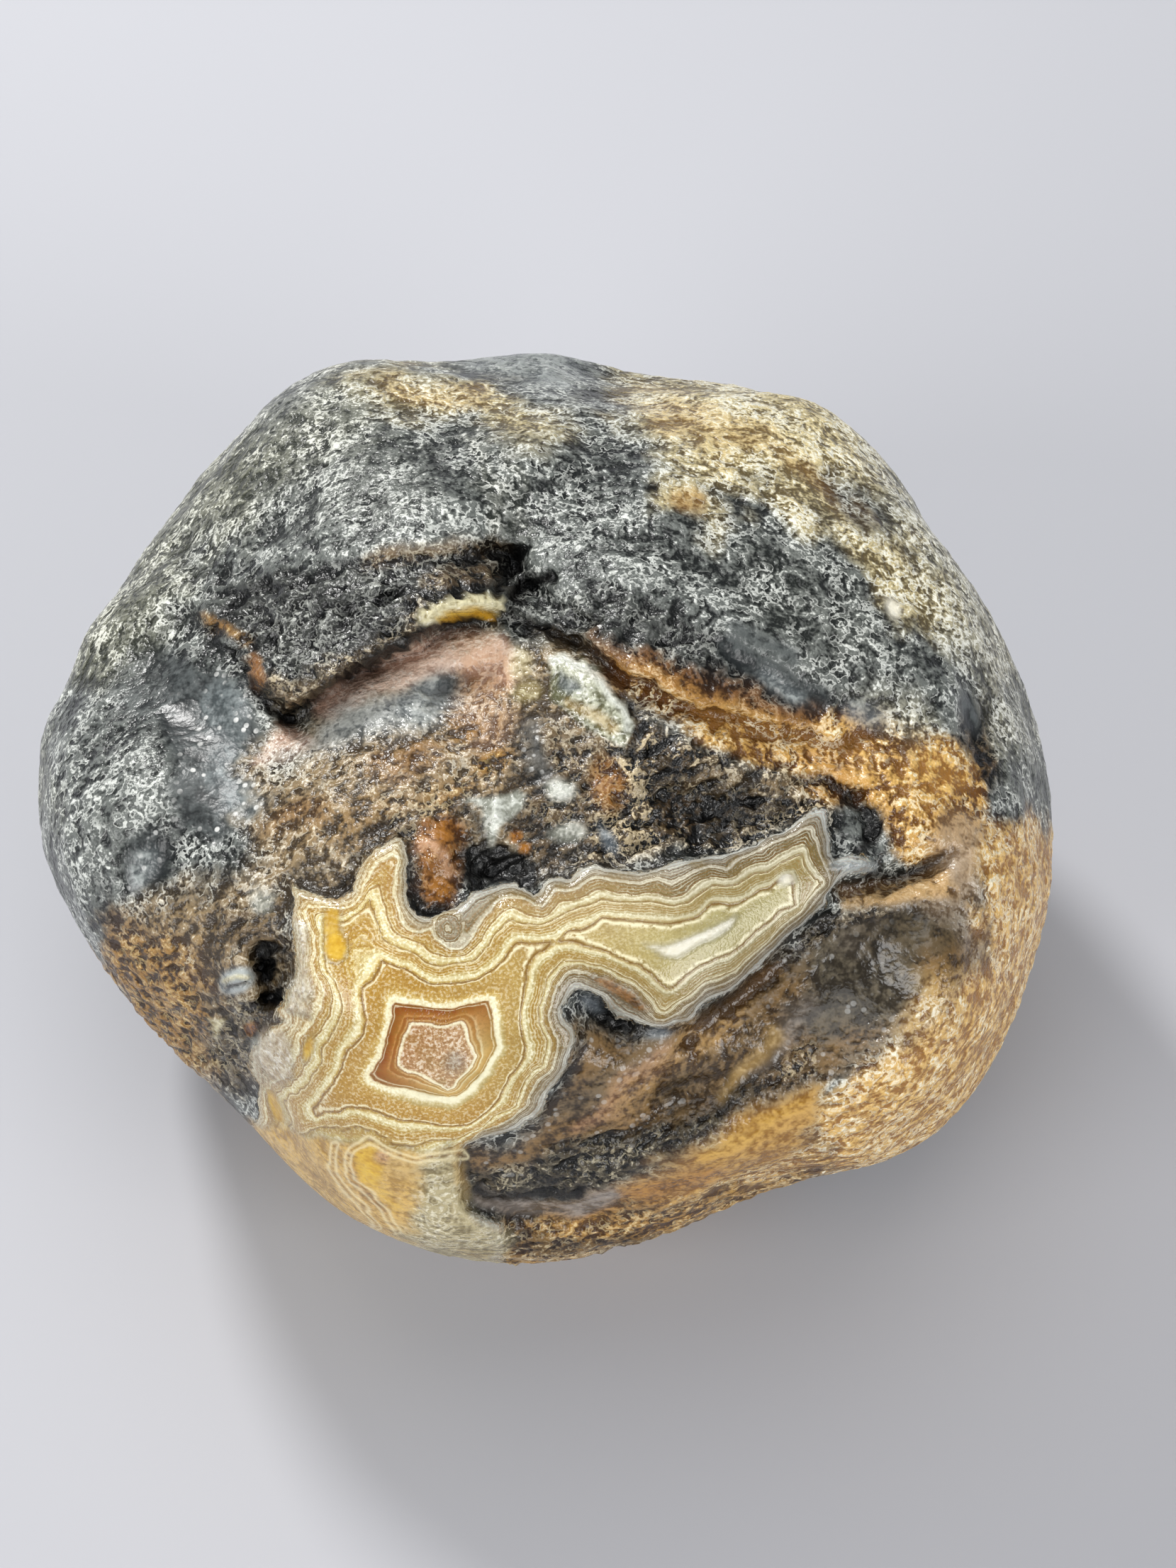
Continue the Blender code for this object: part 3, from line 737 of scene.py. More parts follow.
@dataclass(frozen=True)
class Finish:
    """How one kind of surface looks.

    The three shades are its pits, its body and its bright marks, as the eye reads them from 0 to
    255. The pit shade also serves as painted shade in creases and on the crinkles' sides turned from
    the upper left, and the bright marks are pale percussion marks and painted highlights on edges
    and sides turned to the upper left. The rest runs from 0 to about 1: how densely percussion marks
    cover it, how rough its shine is, how granular it is, how many white specks lie on it, and how torn
    and craggy it is.
    """

    pit: Colour
    body: Colour
    glint: Colour
    marks: float = 0.5
    rough: float = 0.45
    grain: float = 0.2
    specks: float = 0.0
    crag: float = 0.0

    def channels(self) -> dict[str, Sequence[float]]:
        """What each vertex holds of the finish, by the names that the material reads."""
        texture = (self.marks, self.rough, self.grain)
        return {"pit": linear(self.pit), "body": linear(self.body), "glint": linear(self.glint),
                "texture": texture, "specks": (self.specks,)}


class Tone(Enum):
    """The kinds of surface on the stone, each with its finish."""

    CHARCOAL = Finish((24, 27, 26), (108, 112, 108), (236, 239, 232), 0.75, 0.4, 0.2)
    PALE_RIM = Finish((46, 50, 44), (126, 128, 120), (246, 247, 238), 0.85, 0.42, 0.2)
    OLIVE_RIM = Finish((48, 50, 36), (120, 120, 101), (244, 244, 226), 0.85, 0.42, 0.2)
    GOLD = Finish((112, 96, 60), (232, 214, 160), (255, 252, 232), 1.0, 0.42, 0.2)
    PALE_GOLD = Finish((80, 76, 60), (190, 184, 158), (252, 250, 236), 1.0, 0.42, 0.2)
    LIP = Finish((2, 2, 2), (46, 47, 44), (198, 200, 192), 0.6, 0.38, 0.3, 0.0, 1.0)
    OCHRE = Finish((44, 28, 8), (150, 108, 44), (232, 198, 120), 0.6, 0.42, 0.4, 0.0, 0.4)
    # The near-black tone on the next line is painted shade, laid in cracks, crevices, pits and cavities
    # where shade falls.
    CAVITY_SHADE = Finish((2, 2, 2), (10, 10, 9), (64, 64, 61), 0.5, 0.5, 0.3, 0.0, 0.7)
    BROWN = Finish((62, 48, 28), (148, 126, 92), (242, 233, 210), 0.65, 0.4, 0.25, 0.0, 0.12)
    DEEP_BROWN = Finish((12, 8, 4), (74, 57, 36), (180, 162, 128), 0.65, 0.4, 0.3, 0.0, 0.6)
    PINK = Finish((180, 146, 126), (230, 200, 178), (252, 240, 226), 0.6, 0.4, 0.15)
    ROSE = Finish((136, 96, 68), (202, 158, 122), (236, 212, 186), 0.45, 0.4, 0.2)
    SMOKE = Finish((90, 96, 97), (168, 174, 172), (246, 248, 244), 0.35, 0.3, 0.05, 0.3)
    GLASS = Finish((26, 30, 31), (74, 79, 79), (214, 218, 216), 0.15, 0.5, 0.05, 0.7)
    SHARD = Finish((36, 40, 41), (84, 89, 89), (214, 218, 218), 0.12, 0.4, 0.02)
    AMBER = Finish((92, 56, 18), (206, 160, 86), (255, 242, 204), 0.85, 0.33, 0.6, 0.0, 0.15)
    BUFF = Finish((160, 112, 50), (234, 192, 114), (255, 248, 220), 0.75, 0.32, 0.35, 0.0, 0.06)
    HONEY = Finish((138, 96, 36), (202, 160, 88), (252, 234, 180), 0.3, 0.22, 0.1)
    HOLLOW = Finish((44, 38, 28), (104, 96, 80), (172, 164, 146), 0.15, 0.26, 0.15, 0.25)
    FOLD = Finish((52, 36, 16), (130, 102, 64), (210, 190, 152), 0.3, 0.28, 0.15, 0.3)
    UMBER = Finish((30, 24, 14), (82, 70, 50), (156, 140, 110), 0.15, 0.3, 0.1)
    RUST_FOLD = Finish((88, 60, 26), (194, 156, 100), (242, 222, 182), 0.35, 0.3, 0.25, 0.0, 0.15)
    MOSS = Finish((10, 8, 5), (64, 54, 35), (186, 174, 142), 0.75, 0.4, 0.4, 0.15, 0.5)
    MAUVE = Finish((96, 86, 76), (152, 142, 132), (206, 198, 190), 0.12, 0.22, 0.05, 0.1)
    CREAM = Finish((140, 124, 78), (214, 206, 168), (252, 248, 230), 0.6, 0.38, 0.2)
    PORCELAIN = Finish((140, 142, 130), (210, 213, 203), (255, 255, 248), 0.6, 0.35, 0.2)
    BLUE_GREY = Finish((84, 92, 98), (142, 150, 154), (218, 224, 226), 0.3, 0.3, 0.15)
    ORANGE = Finish((82, 46, 10), (164, 108, 40), (236, 190, 120), 0.3, 0.28, 0.2)
    BLUSH = Finish((122, 98, 70), (172, 148, 120), (218, 200, 176), 0.3, 0.35, 0.2)
    YELLOW = Finish((196, 148, 34), (226, 186, 66), (250, 228, 140), 0.1, 0.28, 0.1)
    # The near-white tone on the next line is frost, and on the arm a painted reflection of glare.
    FROST_AND_GLARE = Finish((246, 240, 218), (255, 251, 234), (255, 255, 248), 0.0, 0.4, 0.1)
    STRAW = Finish((166, 134, 76), (206, 176, 118), (240, 220, 168), 0.15, 0.35, 0.1)
    SUGAR = Finish((184, 162, 130), (236, 224, 198), (255, 253, 244), 0.9, 0.35, 0.2, 0.6)
    SUGAR_GOLD = Finish((164, 126, 60), (218, 180, 102), (250, 230, 172), 0.35, 0.3, 0.1, 0.1)
    RECESS = Finish((4, 3, 2), (80, 65, 44), (208, 190, 154), 1.0, 0.36, 0.4, 0.0, 0.9)
    WORM = Finish((92, 92, 64), (188, 190, 168), (254, 254, 244), 0.85, 0.34, 0.2, 0.0, 0.2)
    FROSTED = Finish((74, 82, 84), (140, 149, 150), (244, 247, 244), 0.2, 0.55, 0.02, 0.9)
    NODULE = Finish((60, 34, 10), (136, 88, 36), (226, 182, 122), 0.5, 0.26, 0.3)
    WRINKLE = Finish((122, 112, 80), (180, 171, 136), (246, 241, 218), 0.7, 0.36, 0.15, 0.2, 0.15)


@dataclass(frozen=True)
class Patch:
    """A region of the face that takes a tone.

    soft is the half width of its edge and wobble how far the edge wanders, in millimetres. strength
    is how much of the tone it gives. One that is over_bands hides the bands under it.
    """

    tone: Tone
    shape: Shape
    soft: float = 0.5
    wobble: float = 0.6
    strength: float = 1.0
    over_bands: bool = False


def shoulders() -> list[Patch]:
    """The shoulders: dark skin, gold and pale parts, painted rim light, the broken lip, painted shade in
    cracks.
    """
    gold = [
        ((13, 26.5), (9, 2.8), -12, 0.85), ((19, 22.2), (5, 3), -30, 0.8), ((12, 24), (3.5, 2), 0, 0.7),
        ((23.5, 17.5), (4, 1.8), -55, 0.75), ((26, 14), (3, 1.8), -50, 0.6),
        ((-8, 28.2), (5.5, 1.7), -8, 0.7), ((-2, 27), (3.4, 1.3), -20, 0.7),
        ((9.2, 21.2), (1.2, 0.8), 0, 0.8), ((11.8, 19.4), (0.9, 0.7), 0, 0.8),
        ((17, 29), (8, 1.6), -22, 0.5),
    ]
    return [
        # The pale streaks along the upper outline are paler marks with painted rim light.
        Patch(Tone.OLIVE_RIM, Streak([(-22, 23), (-27, 18), (-31, 11), (-33.5, 3)], 3.2), 2.5, 2, 0.7),
        Patch(Tone.PALE_RIM, Streak([(-20, 27), (-12, 31), (-4, 30)], 3), 2, 1.5, 0.8),
        Patch(Tone.OLIVE_RIM, Blob((-16, 25.5), (9, 2.2), 30), 1.5, 1.5, 0.45),
        Patch(Tone.PALE_GOLD, Streak([(22, 25), (27, 19.5), (30.6, 13), (33.2, 6)], 2.4), 1.6, 1.5, 0.8),
        Patch(Tone.PALE_RIM, Streak([(33, 8), (34.4, 0), (34.6, -3)], 1.8), 1.2, 1, 0.7),
        *(Patch(Tone.GOLD, Blob(at, radii, turn), 1.3, 1.7, share) for at, radii, turn, share in gold),
        Patch(Tone.CHARCOAL, Blob((21.5, 21), (3.4, 1.3), -35), 0.8, 0.9, 0.95),
        Patch(Tone.CHARCOAL, Streak([(2.6, 30), (3.4, 26.6), (1.6, 23)], 1.3), 1, 1, 0.9),
        Patch(Tone.SMOKE, Blob((-1.4, 30.2), (4.6, 1.3), -6), 0.4, 0.5, 0.6),
        Patch(Tone.CHARCOAL, Streak([(-5.6, 29.8), (-3, 28.8), (1.4, 28.4)], 0.4), 0.4, 0.5, 0.8),
        Patch(Tone.PALE_RIM, Streak([(-2.9, 18.2), (-3.4, 21), (-4.4, 24), (-5.4, 26.5)], 0.7),
            0.6, 1.2, 0.95),
        Patch(Tone.PALE_RIM, Streak([(-1.6, 18.6), (-1.8, 21), (-2.6, 24.5)], 0.4), 0.4, 1, 0.8),
        Patch(Tone.PALE_RIM, Blob((-14, 22), (7, 3.4), 20), 2, 2, 0.3),
        Patch(Tone.PALE_RIM, Blob((19, 13), (6, 3), -40), 2, 2, 0.3),
        Patch(Tone.HONEY, Blob((-8, 28.4), (4, 0.9), -10), 0.7, 1.4, 0.35),
        Patch(Tone.HONEY, Blob((10.6, 26.2), (4.6, 1.3), -14), 0.8, 1.8, 0.35),
        Patch(Tone.HONEY, Blob((18.4, 22.6), (3.2, 1.1), -36), 0.8, 1.6, 0.35),
        Patch(Tone.HONEY, Blob((9.9, 20.7), (1.2, 0.8), -30), 0.4, 0.6, 0.6),
        Patch(Tone.LIP, Plot([(-24.5, 12.7), (-22, 15), (-17, 16.2), (-12, 16.6), (-7, 16.8),
            (-2.6, 18.2), (-1.2, 16.4), (0.4, 15.4), (-0.8, 12.6), (-3.2, 13.2), (-7.5, 12.5),
            (-10.7, 10.9), (-15, 8.2), (-17.8, 6.6), (-20.2, 8.7)]), 0.9, 1.4, 0.9),
        Patch(Tone.LIP, Plot([(-1, 12), (1, 14.6), (4, 15), (10, 12.4), (15, 9.4), (20, 7.6), (24, 6.6),
            (19.7, 4.8), (14.2, 5.6), (8.3, 7.8), (3.4, 10.5)]), 1.2, 1.4, 0.75),
        Patch(Tone.OCHRE, Streak([(-12, 16.6), (-9, 16.9), (-5.4, 17.4), (-3.2, 17.4)], 0.6),
            0.7, 1.4, 0.4),
        Patch(Tone.DEEP_BROWN, Streak([(-8.2, 15), (-5.6, 15.4), (-3.6, 15.6)], 0.7), 0.4, 0.7, 0.85),
        # Painted shade in the crevice at the foot of the valley between the shoulders.
        Patch(Tone.CAVITY_SHADE, Streak([(-3.8, 17.2), (-2, 16.8), (-2.8, 15.7), (-3.4, 14.8)], 0.42), 0.2, 0.3),
        Patch(Tone.CAVITY_SHADE, Streak([(-2.4, 14.4), (-0.8, 15), (0.1, 15.6)], 0.38), 0.2, 0.3),
        Patch(Tone.CAVITY_SHADE, Streak([(-1.6, 12.4), (0.2, 12.2), (1.6, 11.2)], 0.5), 0.3, 0.5, 0.8),
        Patch(Tone.SHARD, Streak([(12.6, 10.6), (15.2, 9), (18.4, 7.2)], 1), 0.5, 0.5, 0.9),
        Patch(Tone.SMOKE, Streak([(15, 8.8), (17.4, 7.4)], 0.45), 0.3, 0.3, 0.9),
        Patch(Tone.SHARD, Streak([(13, 12.2), (17, 10)], 0.5), 0.4, 0.4, 0.7),
        Patch(Tone.OCHRE, Streak([(-24, 12.6), (-22, 11.8), (-20.4, 11)], 0.3), 0.3, 0.6, 0.8),
        # Painted shade in a small pit on the dome.
        Patch(Tone.CAVITY_SHADE, Blob((7.3, 21.7), (0.35, 0.3)), 0.1, 0),
        Patch(Tone.FROST_AND_GLARE, Blob((23.9, 13.5), (0.4, 0.7), 20), 0.2, 0.2, 0.9),
        Patch(Tone.DEEP_BROWN, Blob((30, 4.2), (1, 2.9), 14), 0.4, 0.5),
        Patch(Tone.SHARD, Blob((29.4, 6.2), (0.7, 1.6), 20), 0.3, 0.3),
    ]


def left_side() -> list[Patch]:
    """The chips, the knob and the brown skin left of the window, with painted shade in the cavity beside
    it.
    """
    return [
        Patch(Tone.CHARCOAL, Plot([(-36, 8), (-24, 8), (-20, 2), (-21, -4), (-24, -8), (-32, -9)]),
            1.2, 1.2),
        Patch(Tone.SHARD, Blob((-27.3, 8.2), (2.4, 3)), 0.8, 0.8, 0.6),
        Patch(Tone.GLASS, Plot([(-26, 9.4), (-23, 9.6), (-20.6, 6.6), (-19.6, 4.4), (-18.8, 1.6),
            (-20.6, -0.6), (-23, -2.6), (-25.6, -1.4), (-26.4, 3.6)]), 0.7, 0.8, 0.95),
        Patch(Tone.SHARD, Blob((-25.2, 6.4), (1.6, 2.6), -10), 0.5, 0.5, 0.9),
        Patch(Tone.FROSTED, Blob((-21.4, 1.8), (2.2, 3), 20), 0.8, 0.9, 0.85),
        Patch(Tone.FROSTED, Blob((-22.6, 6.6), (1.4, 2.2), -10), 0.6, 0.9, 0.6),
        Patch(Tone.GLASS, Blob((-27.7, -4.2), (1.5, 2.3), -22), 0.4, 0.4, 0.9),
        Patch(Tone.SMOKE, Blob((-27.9, -4.6), (0.8, 1.6), -22), 0.4, 0.3, 0.8),
        Patch(Tone.BROWN, Plot([(-29, -7.5), (-22, -5), (-18, -6), (-17.6, -12), (-20, -20), (-24, -20),
            (-31, -11)]), 1.4, 1.3),
        Patch(Tone.AMBER, Plot([(-30, -8.4), (-24, -9.4), (-23.6, -13), (-26.4, -17), (-31, -12)]),
            1.2, 1.6, 0.7),
        Patch(Tone.OCHRE, Plot([(-31, -8.6), (-25.6, -9), (-24, -13.4), (-22.4, -19.4), (-28, -18)]),
            1, 1.8, 0.75),
        Patch(Tone.DEEP_BROWN, Plot([(-24, -6.6), (-18.6, -5.8), (-18.2, -11), (-20, -13),
            (-22.6, -9.6)]), 1, 1.2, 0.5),
        Patch(Tone.MOSS, Plot([(-22.4, -13.6), (-19, -14), (-20.4, -17), (-21.4, -20.6), (-24, -18)]),
            0.8, 0.9, 0.8),
        # Painted shade in the cavity beside the window.
        Patch(Tone.CAVITY_SHADE, Plot([(-20.5, -10.6), (-19.2, -9.8), (-18.2, -10.6), (-18.5, -12.4),
            (-19.8, -12.6)]), 0.3, 0.9),
        Patch(Tone.CAVITY_SHADE, Plot([(-19.8, -13.4), (-18.2, -12.9), (-18.5, -14.4), (-19.2, -14.6)]),
            0.25, 0.8),
        Patch(Tone.SMOKE, Blob((-21.5, -12.3), (1.25, 0.95), 20), 0.25, 0.2),
        Patch(Tone.CREAM, Streak([(-22.3, -12.3), (-21.6, -12), (-20.8, -12.1)], 0.16), 0.15, 0.15, 0.8),
        Patch(Tone.DEEP_BROWN, Streak([(-22.2, -12.7), (-21.4, -12.6), (-20.8, -12.5)], 0.12),
            0.12, 0.15, 0.8),
        Patch(Tone.CREAM, Plot([(-23.6, -14.9), (-22.4, -15.1), (-22.9, -16.4)]), 0.15, 0.15),
        Patch(Tone.ORANGE, Blob((-20.6, -15.6), (0.45, 0.4)), 0.15, 0.1),
        Patch(Tone.PORCELAIN, Blob((-20, -16.8), (0.7, 0.7)), 0.3, 0.3, 0.8),
        Patch(Tone.PORCELAIN, Blob((-19.8, -6.5), (0.8, 1.1), 20), 0.3, 0.3, 0.9),
    ]


def shelf() -> list[Patch]:
    """The brown shelf under the brow, from the pink patch to the dark recess.

    It has painted shade in its pits, cracks and recess, and a painted shadow under the lip.
    """
    return [
        Patch(Tone.BROWN, Plot([(-20.5, 3), (-21, -6), (-14, -7), (-9, -3), (-2, -3), (6, -5), (8, -1),
            (7, 3), (3, 10), (-1, 12), (-4, 12), (-10, 10.6), (-15, 8), (-18, 5.6)]), 1.8, 2.4, 0.95),
        Patch(Tone.PINK, Plot([(-16.5, 6.5), (-14, 8.5), (-10, 10.8), (-6, 12), (-3, 11.8), (-2, 10),
            (-2.6, 8.6), (-6, 9.3), (-9, 8.8), (-12, 7.6), (-15, 5.8)]), 0.5, 0.6),
        Patch(Tone.PINK, Plot([(-18.2, 5.8), (-20.2, 2.6), (-17.8, 2.8), (-16, 4.2)]), 0.4, 0.4, 0.9),
        Patch(Tone.ROSE, Blob((-4, 9.4), (2, 1.6)), 0.8, 0.6, 0.7),
        Patch(Tone.SMOKE, Blob((-8.6, 7), (3, 1.9), 32), 0.8, 0.9, 0.9),
        Patch(Tone.SMOKE, Blob((-13.2, 5.4), (3.2, 1.6), 30), 0.9, 1, 0.8),
        Patch(Tone.SHARD, Blob((-7.2, 7.6), (1.5, 0.7), 50), 0.3, 0.4, 0.8),
        Patch(Tone.PALE_RIM, Blob((-18, 3), (1.6, 1.1), 30), 0.6, 0.6, 0.7),
        Patch(Tone.ROSE, Blob((-4.4, 6), (2, 2.6)), 1, 0.9, 0.4),
        Patch(Tone.OCHRE, Blob((-12.6, -1.4), (4, 1.6), 20), 1.2, 1.2, 0.35),
        Patch(Tone.ORANGE, Blob((-17.4, -1.2), (2.2, 1), 10), 0.8, 1.4, 0.3),
        Patch(Tone.ORANGE, Blob((-9.6, 2.6), (2.4, 0.9), 20), 0.8, 1.4, 0.4),
        Patch(Tone.OCHRE, Blob((-6.6, 0.6), (2, 1), 10), 0.8, 1.2, 0.6),
        Patch(Tone.DEEP_BROWN, Plot([(-14.4, -6), (-11.8, -1.8), (-9.4, -0.4), (-6.6, -1.8), (-6.2, -3.2),
            (-9.6, -2.6), (-12, -3.4), (-13.4, -6.4)]), 0.8, 0.7, 0.75),
        Patch(Tone.DEEP_BROWN, Plot([(-2, 4), (-2.6, -1), (-1, -3.6), (4, -4.4), (6.4, -1), (6, 3.6),
            (2, 5)]), 1.4, 1.6, 0.85),
        Patch(Tone.RECESS, Plot([(5, 7.4), (8.6, 5.6), (12, 3.8), (16, 2.6), (20.4, 1.2), (19.6, -0.8),
            (16.4, -1.4), (14, -2.4), (10, -3.4), (6, -4.2), (2, -4.2), (3, -0.6), (4.6, 3)]), 1.2, 1.6),
        # Painted shade deep in the dark recess over the arm.
        Patch(Tone.CAVITY_SHADE, Plot([(7.6, 3.6), (11, 2.2), (15, 1), (17.6, 0), (14, -1.8), (10, -2.4),
            (7.4, -2)]), 0.8, 1.4, 0.55),
        Patch(Tone.DEEP_BROWN, Blob((8.8, -0.8), (1.2, 2.4), -30), 0.7, 0.7, 0.7),
        Patch(Tone.BROWN, Streak([(11, 2.4), (15.4, 1.2), (18.2, 0.9)], 0.5), 0.5, 0.6, 0.6),
        Patch(Tone.NODULE, Plot([(-9.5, -2.6), (-8.6, -0.8), (-6.4, -0.6), (-5.2, -1.8), (-5.6, -3.6),
            (-6.1, -5.6), (-7, -7), (-8.6, -7.4), (-9.5, -6.2), (-9.4, -4.6)]), 0.4, 0.6, 0.95),
        Patch(Tone.ORANGE, Blob((-7.4, -6), (0.9, 1.1), 10), 0.5, 0.5, 0.9),
        Patch(Tone.ORANGE, Blob((-7, -1.9), (1.3, 0.7), 20), 0.5, 0.5, 0.8),
        Patch(Tone.ROSE, Streak([(-9.2, -3.2), (-8.2, -2.6), (-7.2, -3.6), (-6.6, -4.8)], 0.3),
            0.3, 0.4, 0.8),
        Patch(Tone.DEEP_BROWN, Streak([(-9.5, -6.4), (-8.6, -7.5), (-7, -7.2)], 0.3), 0.3, 0.3, 0.8),
        # Painted shade in the black pit over the window and in the crack beside it.
        Patch(Tone.CAVITY_SHADE, Plot([(-5.8, -2.9), (-3.2, -3), (-0.8, -3.6), (-0.3, -5), (-1.2, -6.2),
            (-3, -5.6), (-5.4, -6), (-6.2, -4.6)]), 0.3, 0.5),
        Patch(Tone.CAVITY_SHADE, Streak([(-5.9, -0.1), (-4.8, -0.9), (-4.6, -1.8), (-4.1, -3.3)], 0.3),
            0.2, 0.3, 0.8),
        Patch(Tone.PORCELAIN, Plot([(-5.8, 0.3), (-3.8, 0.3), (-2.2, 0.7), (-1.7, 0.4), (-1.9, -0.5),
            (-2.6, -1.2), (-3.4, -1.7), (-3.9, -3.1), (-4.3, -1.5), (-4.4, -0.4)]), 0.18, 0.25),
        Patch(Tone.ORANGE, Blob((-2.2, -2.3), (0.45, 0.45)), 0.15, 0.1),
        Patch(Tone.ORANGE, Blob((-1.6, -3.1), (0.4, 0.4)), 0.15, 0.1),
        Patch(Tone.OCHRE, Blob((-3.8, 2.8), (1.4, 0.9), 20), 0.4, 0.5, 0.9),
        Patch(Tone.OCHRE, Blob((-5.6, 4.8), (1.2, 0.7), 20), 0.4, 0.5, 0.7),
        Patch(Tone.GLASS, Streak([(-1.4, 5.2), (-1, 3.2), (-0.4, 1.6)], 0.7), 0.7, 0.8, 0.7),
        Patch(Tone.PORCELAIN, Blob((0.9, 0.9), (1, 0.8)), 0.3, 0.3, 0.85),
        Patch(Tone.PORCELAIN, Blob((1.4, -2), (1.1, 0.7)), 0.3, 0.4, 0.7),
        Patch(Tone.BLUE_GREY, Blob((4.2, -2.4), (0.5, 1.2), 30), 0.3, 0.3, 0.8),
        Patch(Tone.ORANGE, Blob((4.2, 1.4), (1.2, 1.6), 10), 0.6, 0.6, 0.6),
        Patch(Tone.CREAM, Blob((-1.4, 7.8), (0.9, 0.7)), 0.3, 0.3, 0.85),
        Patch(Tone.CREAM, Blob((-1.9, 9.8), (0.8, 1.1)), 0.4, 0.4, 0.6),
        Patch(Tone.WORM, Plot([(0, 10.2), (0.8, 10.3), (1.4, 9.6), (2.4, 10), (2.8, 9.6), (3.6, 9.2),
            (4, 8.4), (4.2, 7.6), (5, 7), (5.8, 6), (5.8, 5), (5.2, 3.8), (4.2, 4.4), (3.2, 5), (2, 5.8),
            (1, 6.6), (0.2, 7), (0.1, 8.4)]), 0.2, 0.3),
        Patch(Tone.BLUE_GREY, Plot([(0.7, 9.2), (1.4, 8.6), (2.2, 8.4), (2.6, 7.8), (1.6, 7.5),
            (0.7, 7.9)]), 0.25, 0.3, 0.7),
        Patch(Tone.STRAW, Streak([(1.6, 6.9), (3.2, 6.2), (4.4, 5.2)], 0.4), 0.3, 0.3, 0.5),
        Patch(Tone.PORCELAIN, Streak([(0.2, 9.9), (1, 10.1), (1.8, 9.6), (3, 9.2), (3.9, 8.2), (4.4, 7.2),
            (5.4, 6.2), (5.5, 5)], 0.28), 0.2, 0.2, 0.9),
        # Painted shade beside the pale worm.
        Patch(Tone.CAVITY_SHADE, Streak([(5.2, 7.2), (6.4, 5.6), (5.8, 3.4), (4.6, 3.4)], 0.3), 0.3, 0.3, 0.8),
        # Painted shadow under the lip: the recess, near-black and deep brown streaks along the crease below
        # the brow.
        Patch(Tone.RECESS, Streak([(-19.2, 8.2), (-17.4, 7.4), (-14.2, 9.6), (-10.6, 11.6), (-8.4, 12.8)],
            0.9), 0.5, 1.2, 0.85),
        Patch(Tone.CAVITY_SHADE, Blob((-12.6, 11.6), (1.4, 0.6), 30), 0.3, 0.7, 0.8),
        Patch(Tone.CAVITY_SHADE, Blob((-16.6, 8.6), (1, 0.5), 20), 0.3, 0.7, 0.8),
        Patch(Tone.CAVITY_SHADE, Streak([(-20.4, 8.2), (-17.7, 6.2), (-14.2, 8.8), (-10.6, 11), (-7.8, 12.4),
            (-5.4, 12.9)], 0.55), 0.3, 0.8),
        Patch(Tone.DEEP_BROWN, Streak([(-19.6, 8.4), (-17.6, 6.6), (-14.4, 8.9)], 0.5), 0.4, 0.4, 0.6),
        Patch(Tone.NODULE, Blob((-20.2, 9), (0.5, 1.3), 6), 0.2, 0.2, 0.9),
        Patch(Tone.BROWN, Blob((-17.6, 7.4), (1.3, 0.5), 30), 0.4, 0.5, 0.35),
        Patch(Tone.CREAM, Streak([(-8.3, 12.9), (-7.1, 13.5), (-5, 13.9), (-3.6, 13.5)], 0.52),
            0.18, 0.2),
        Patch(Tone.YELLOW, Streak([(-7.3, 12.7), (-6, 13.1), (-4.8, 13.2), (-4, 12.9)], 0.24), 0.12, 0.1),
    ]


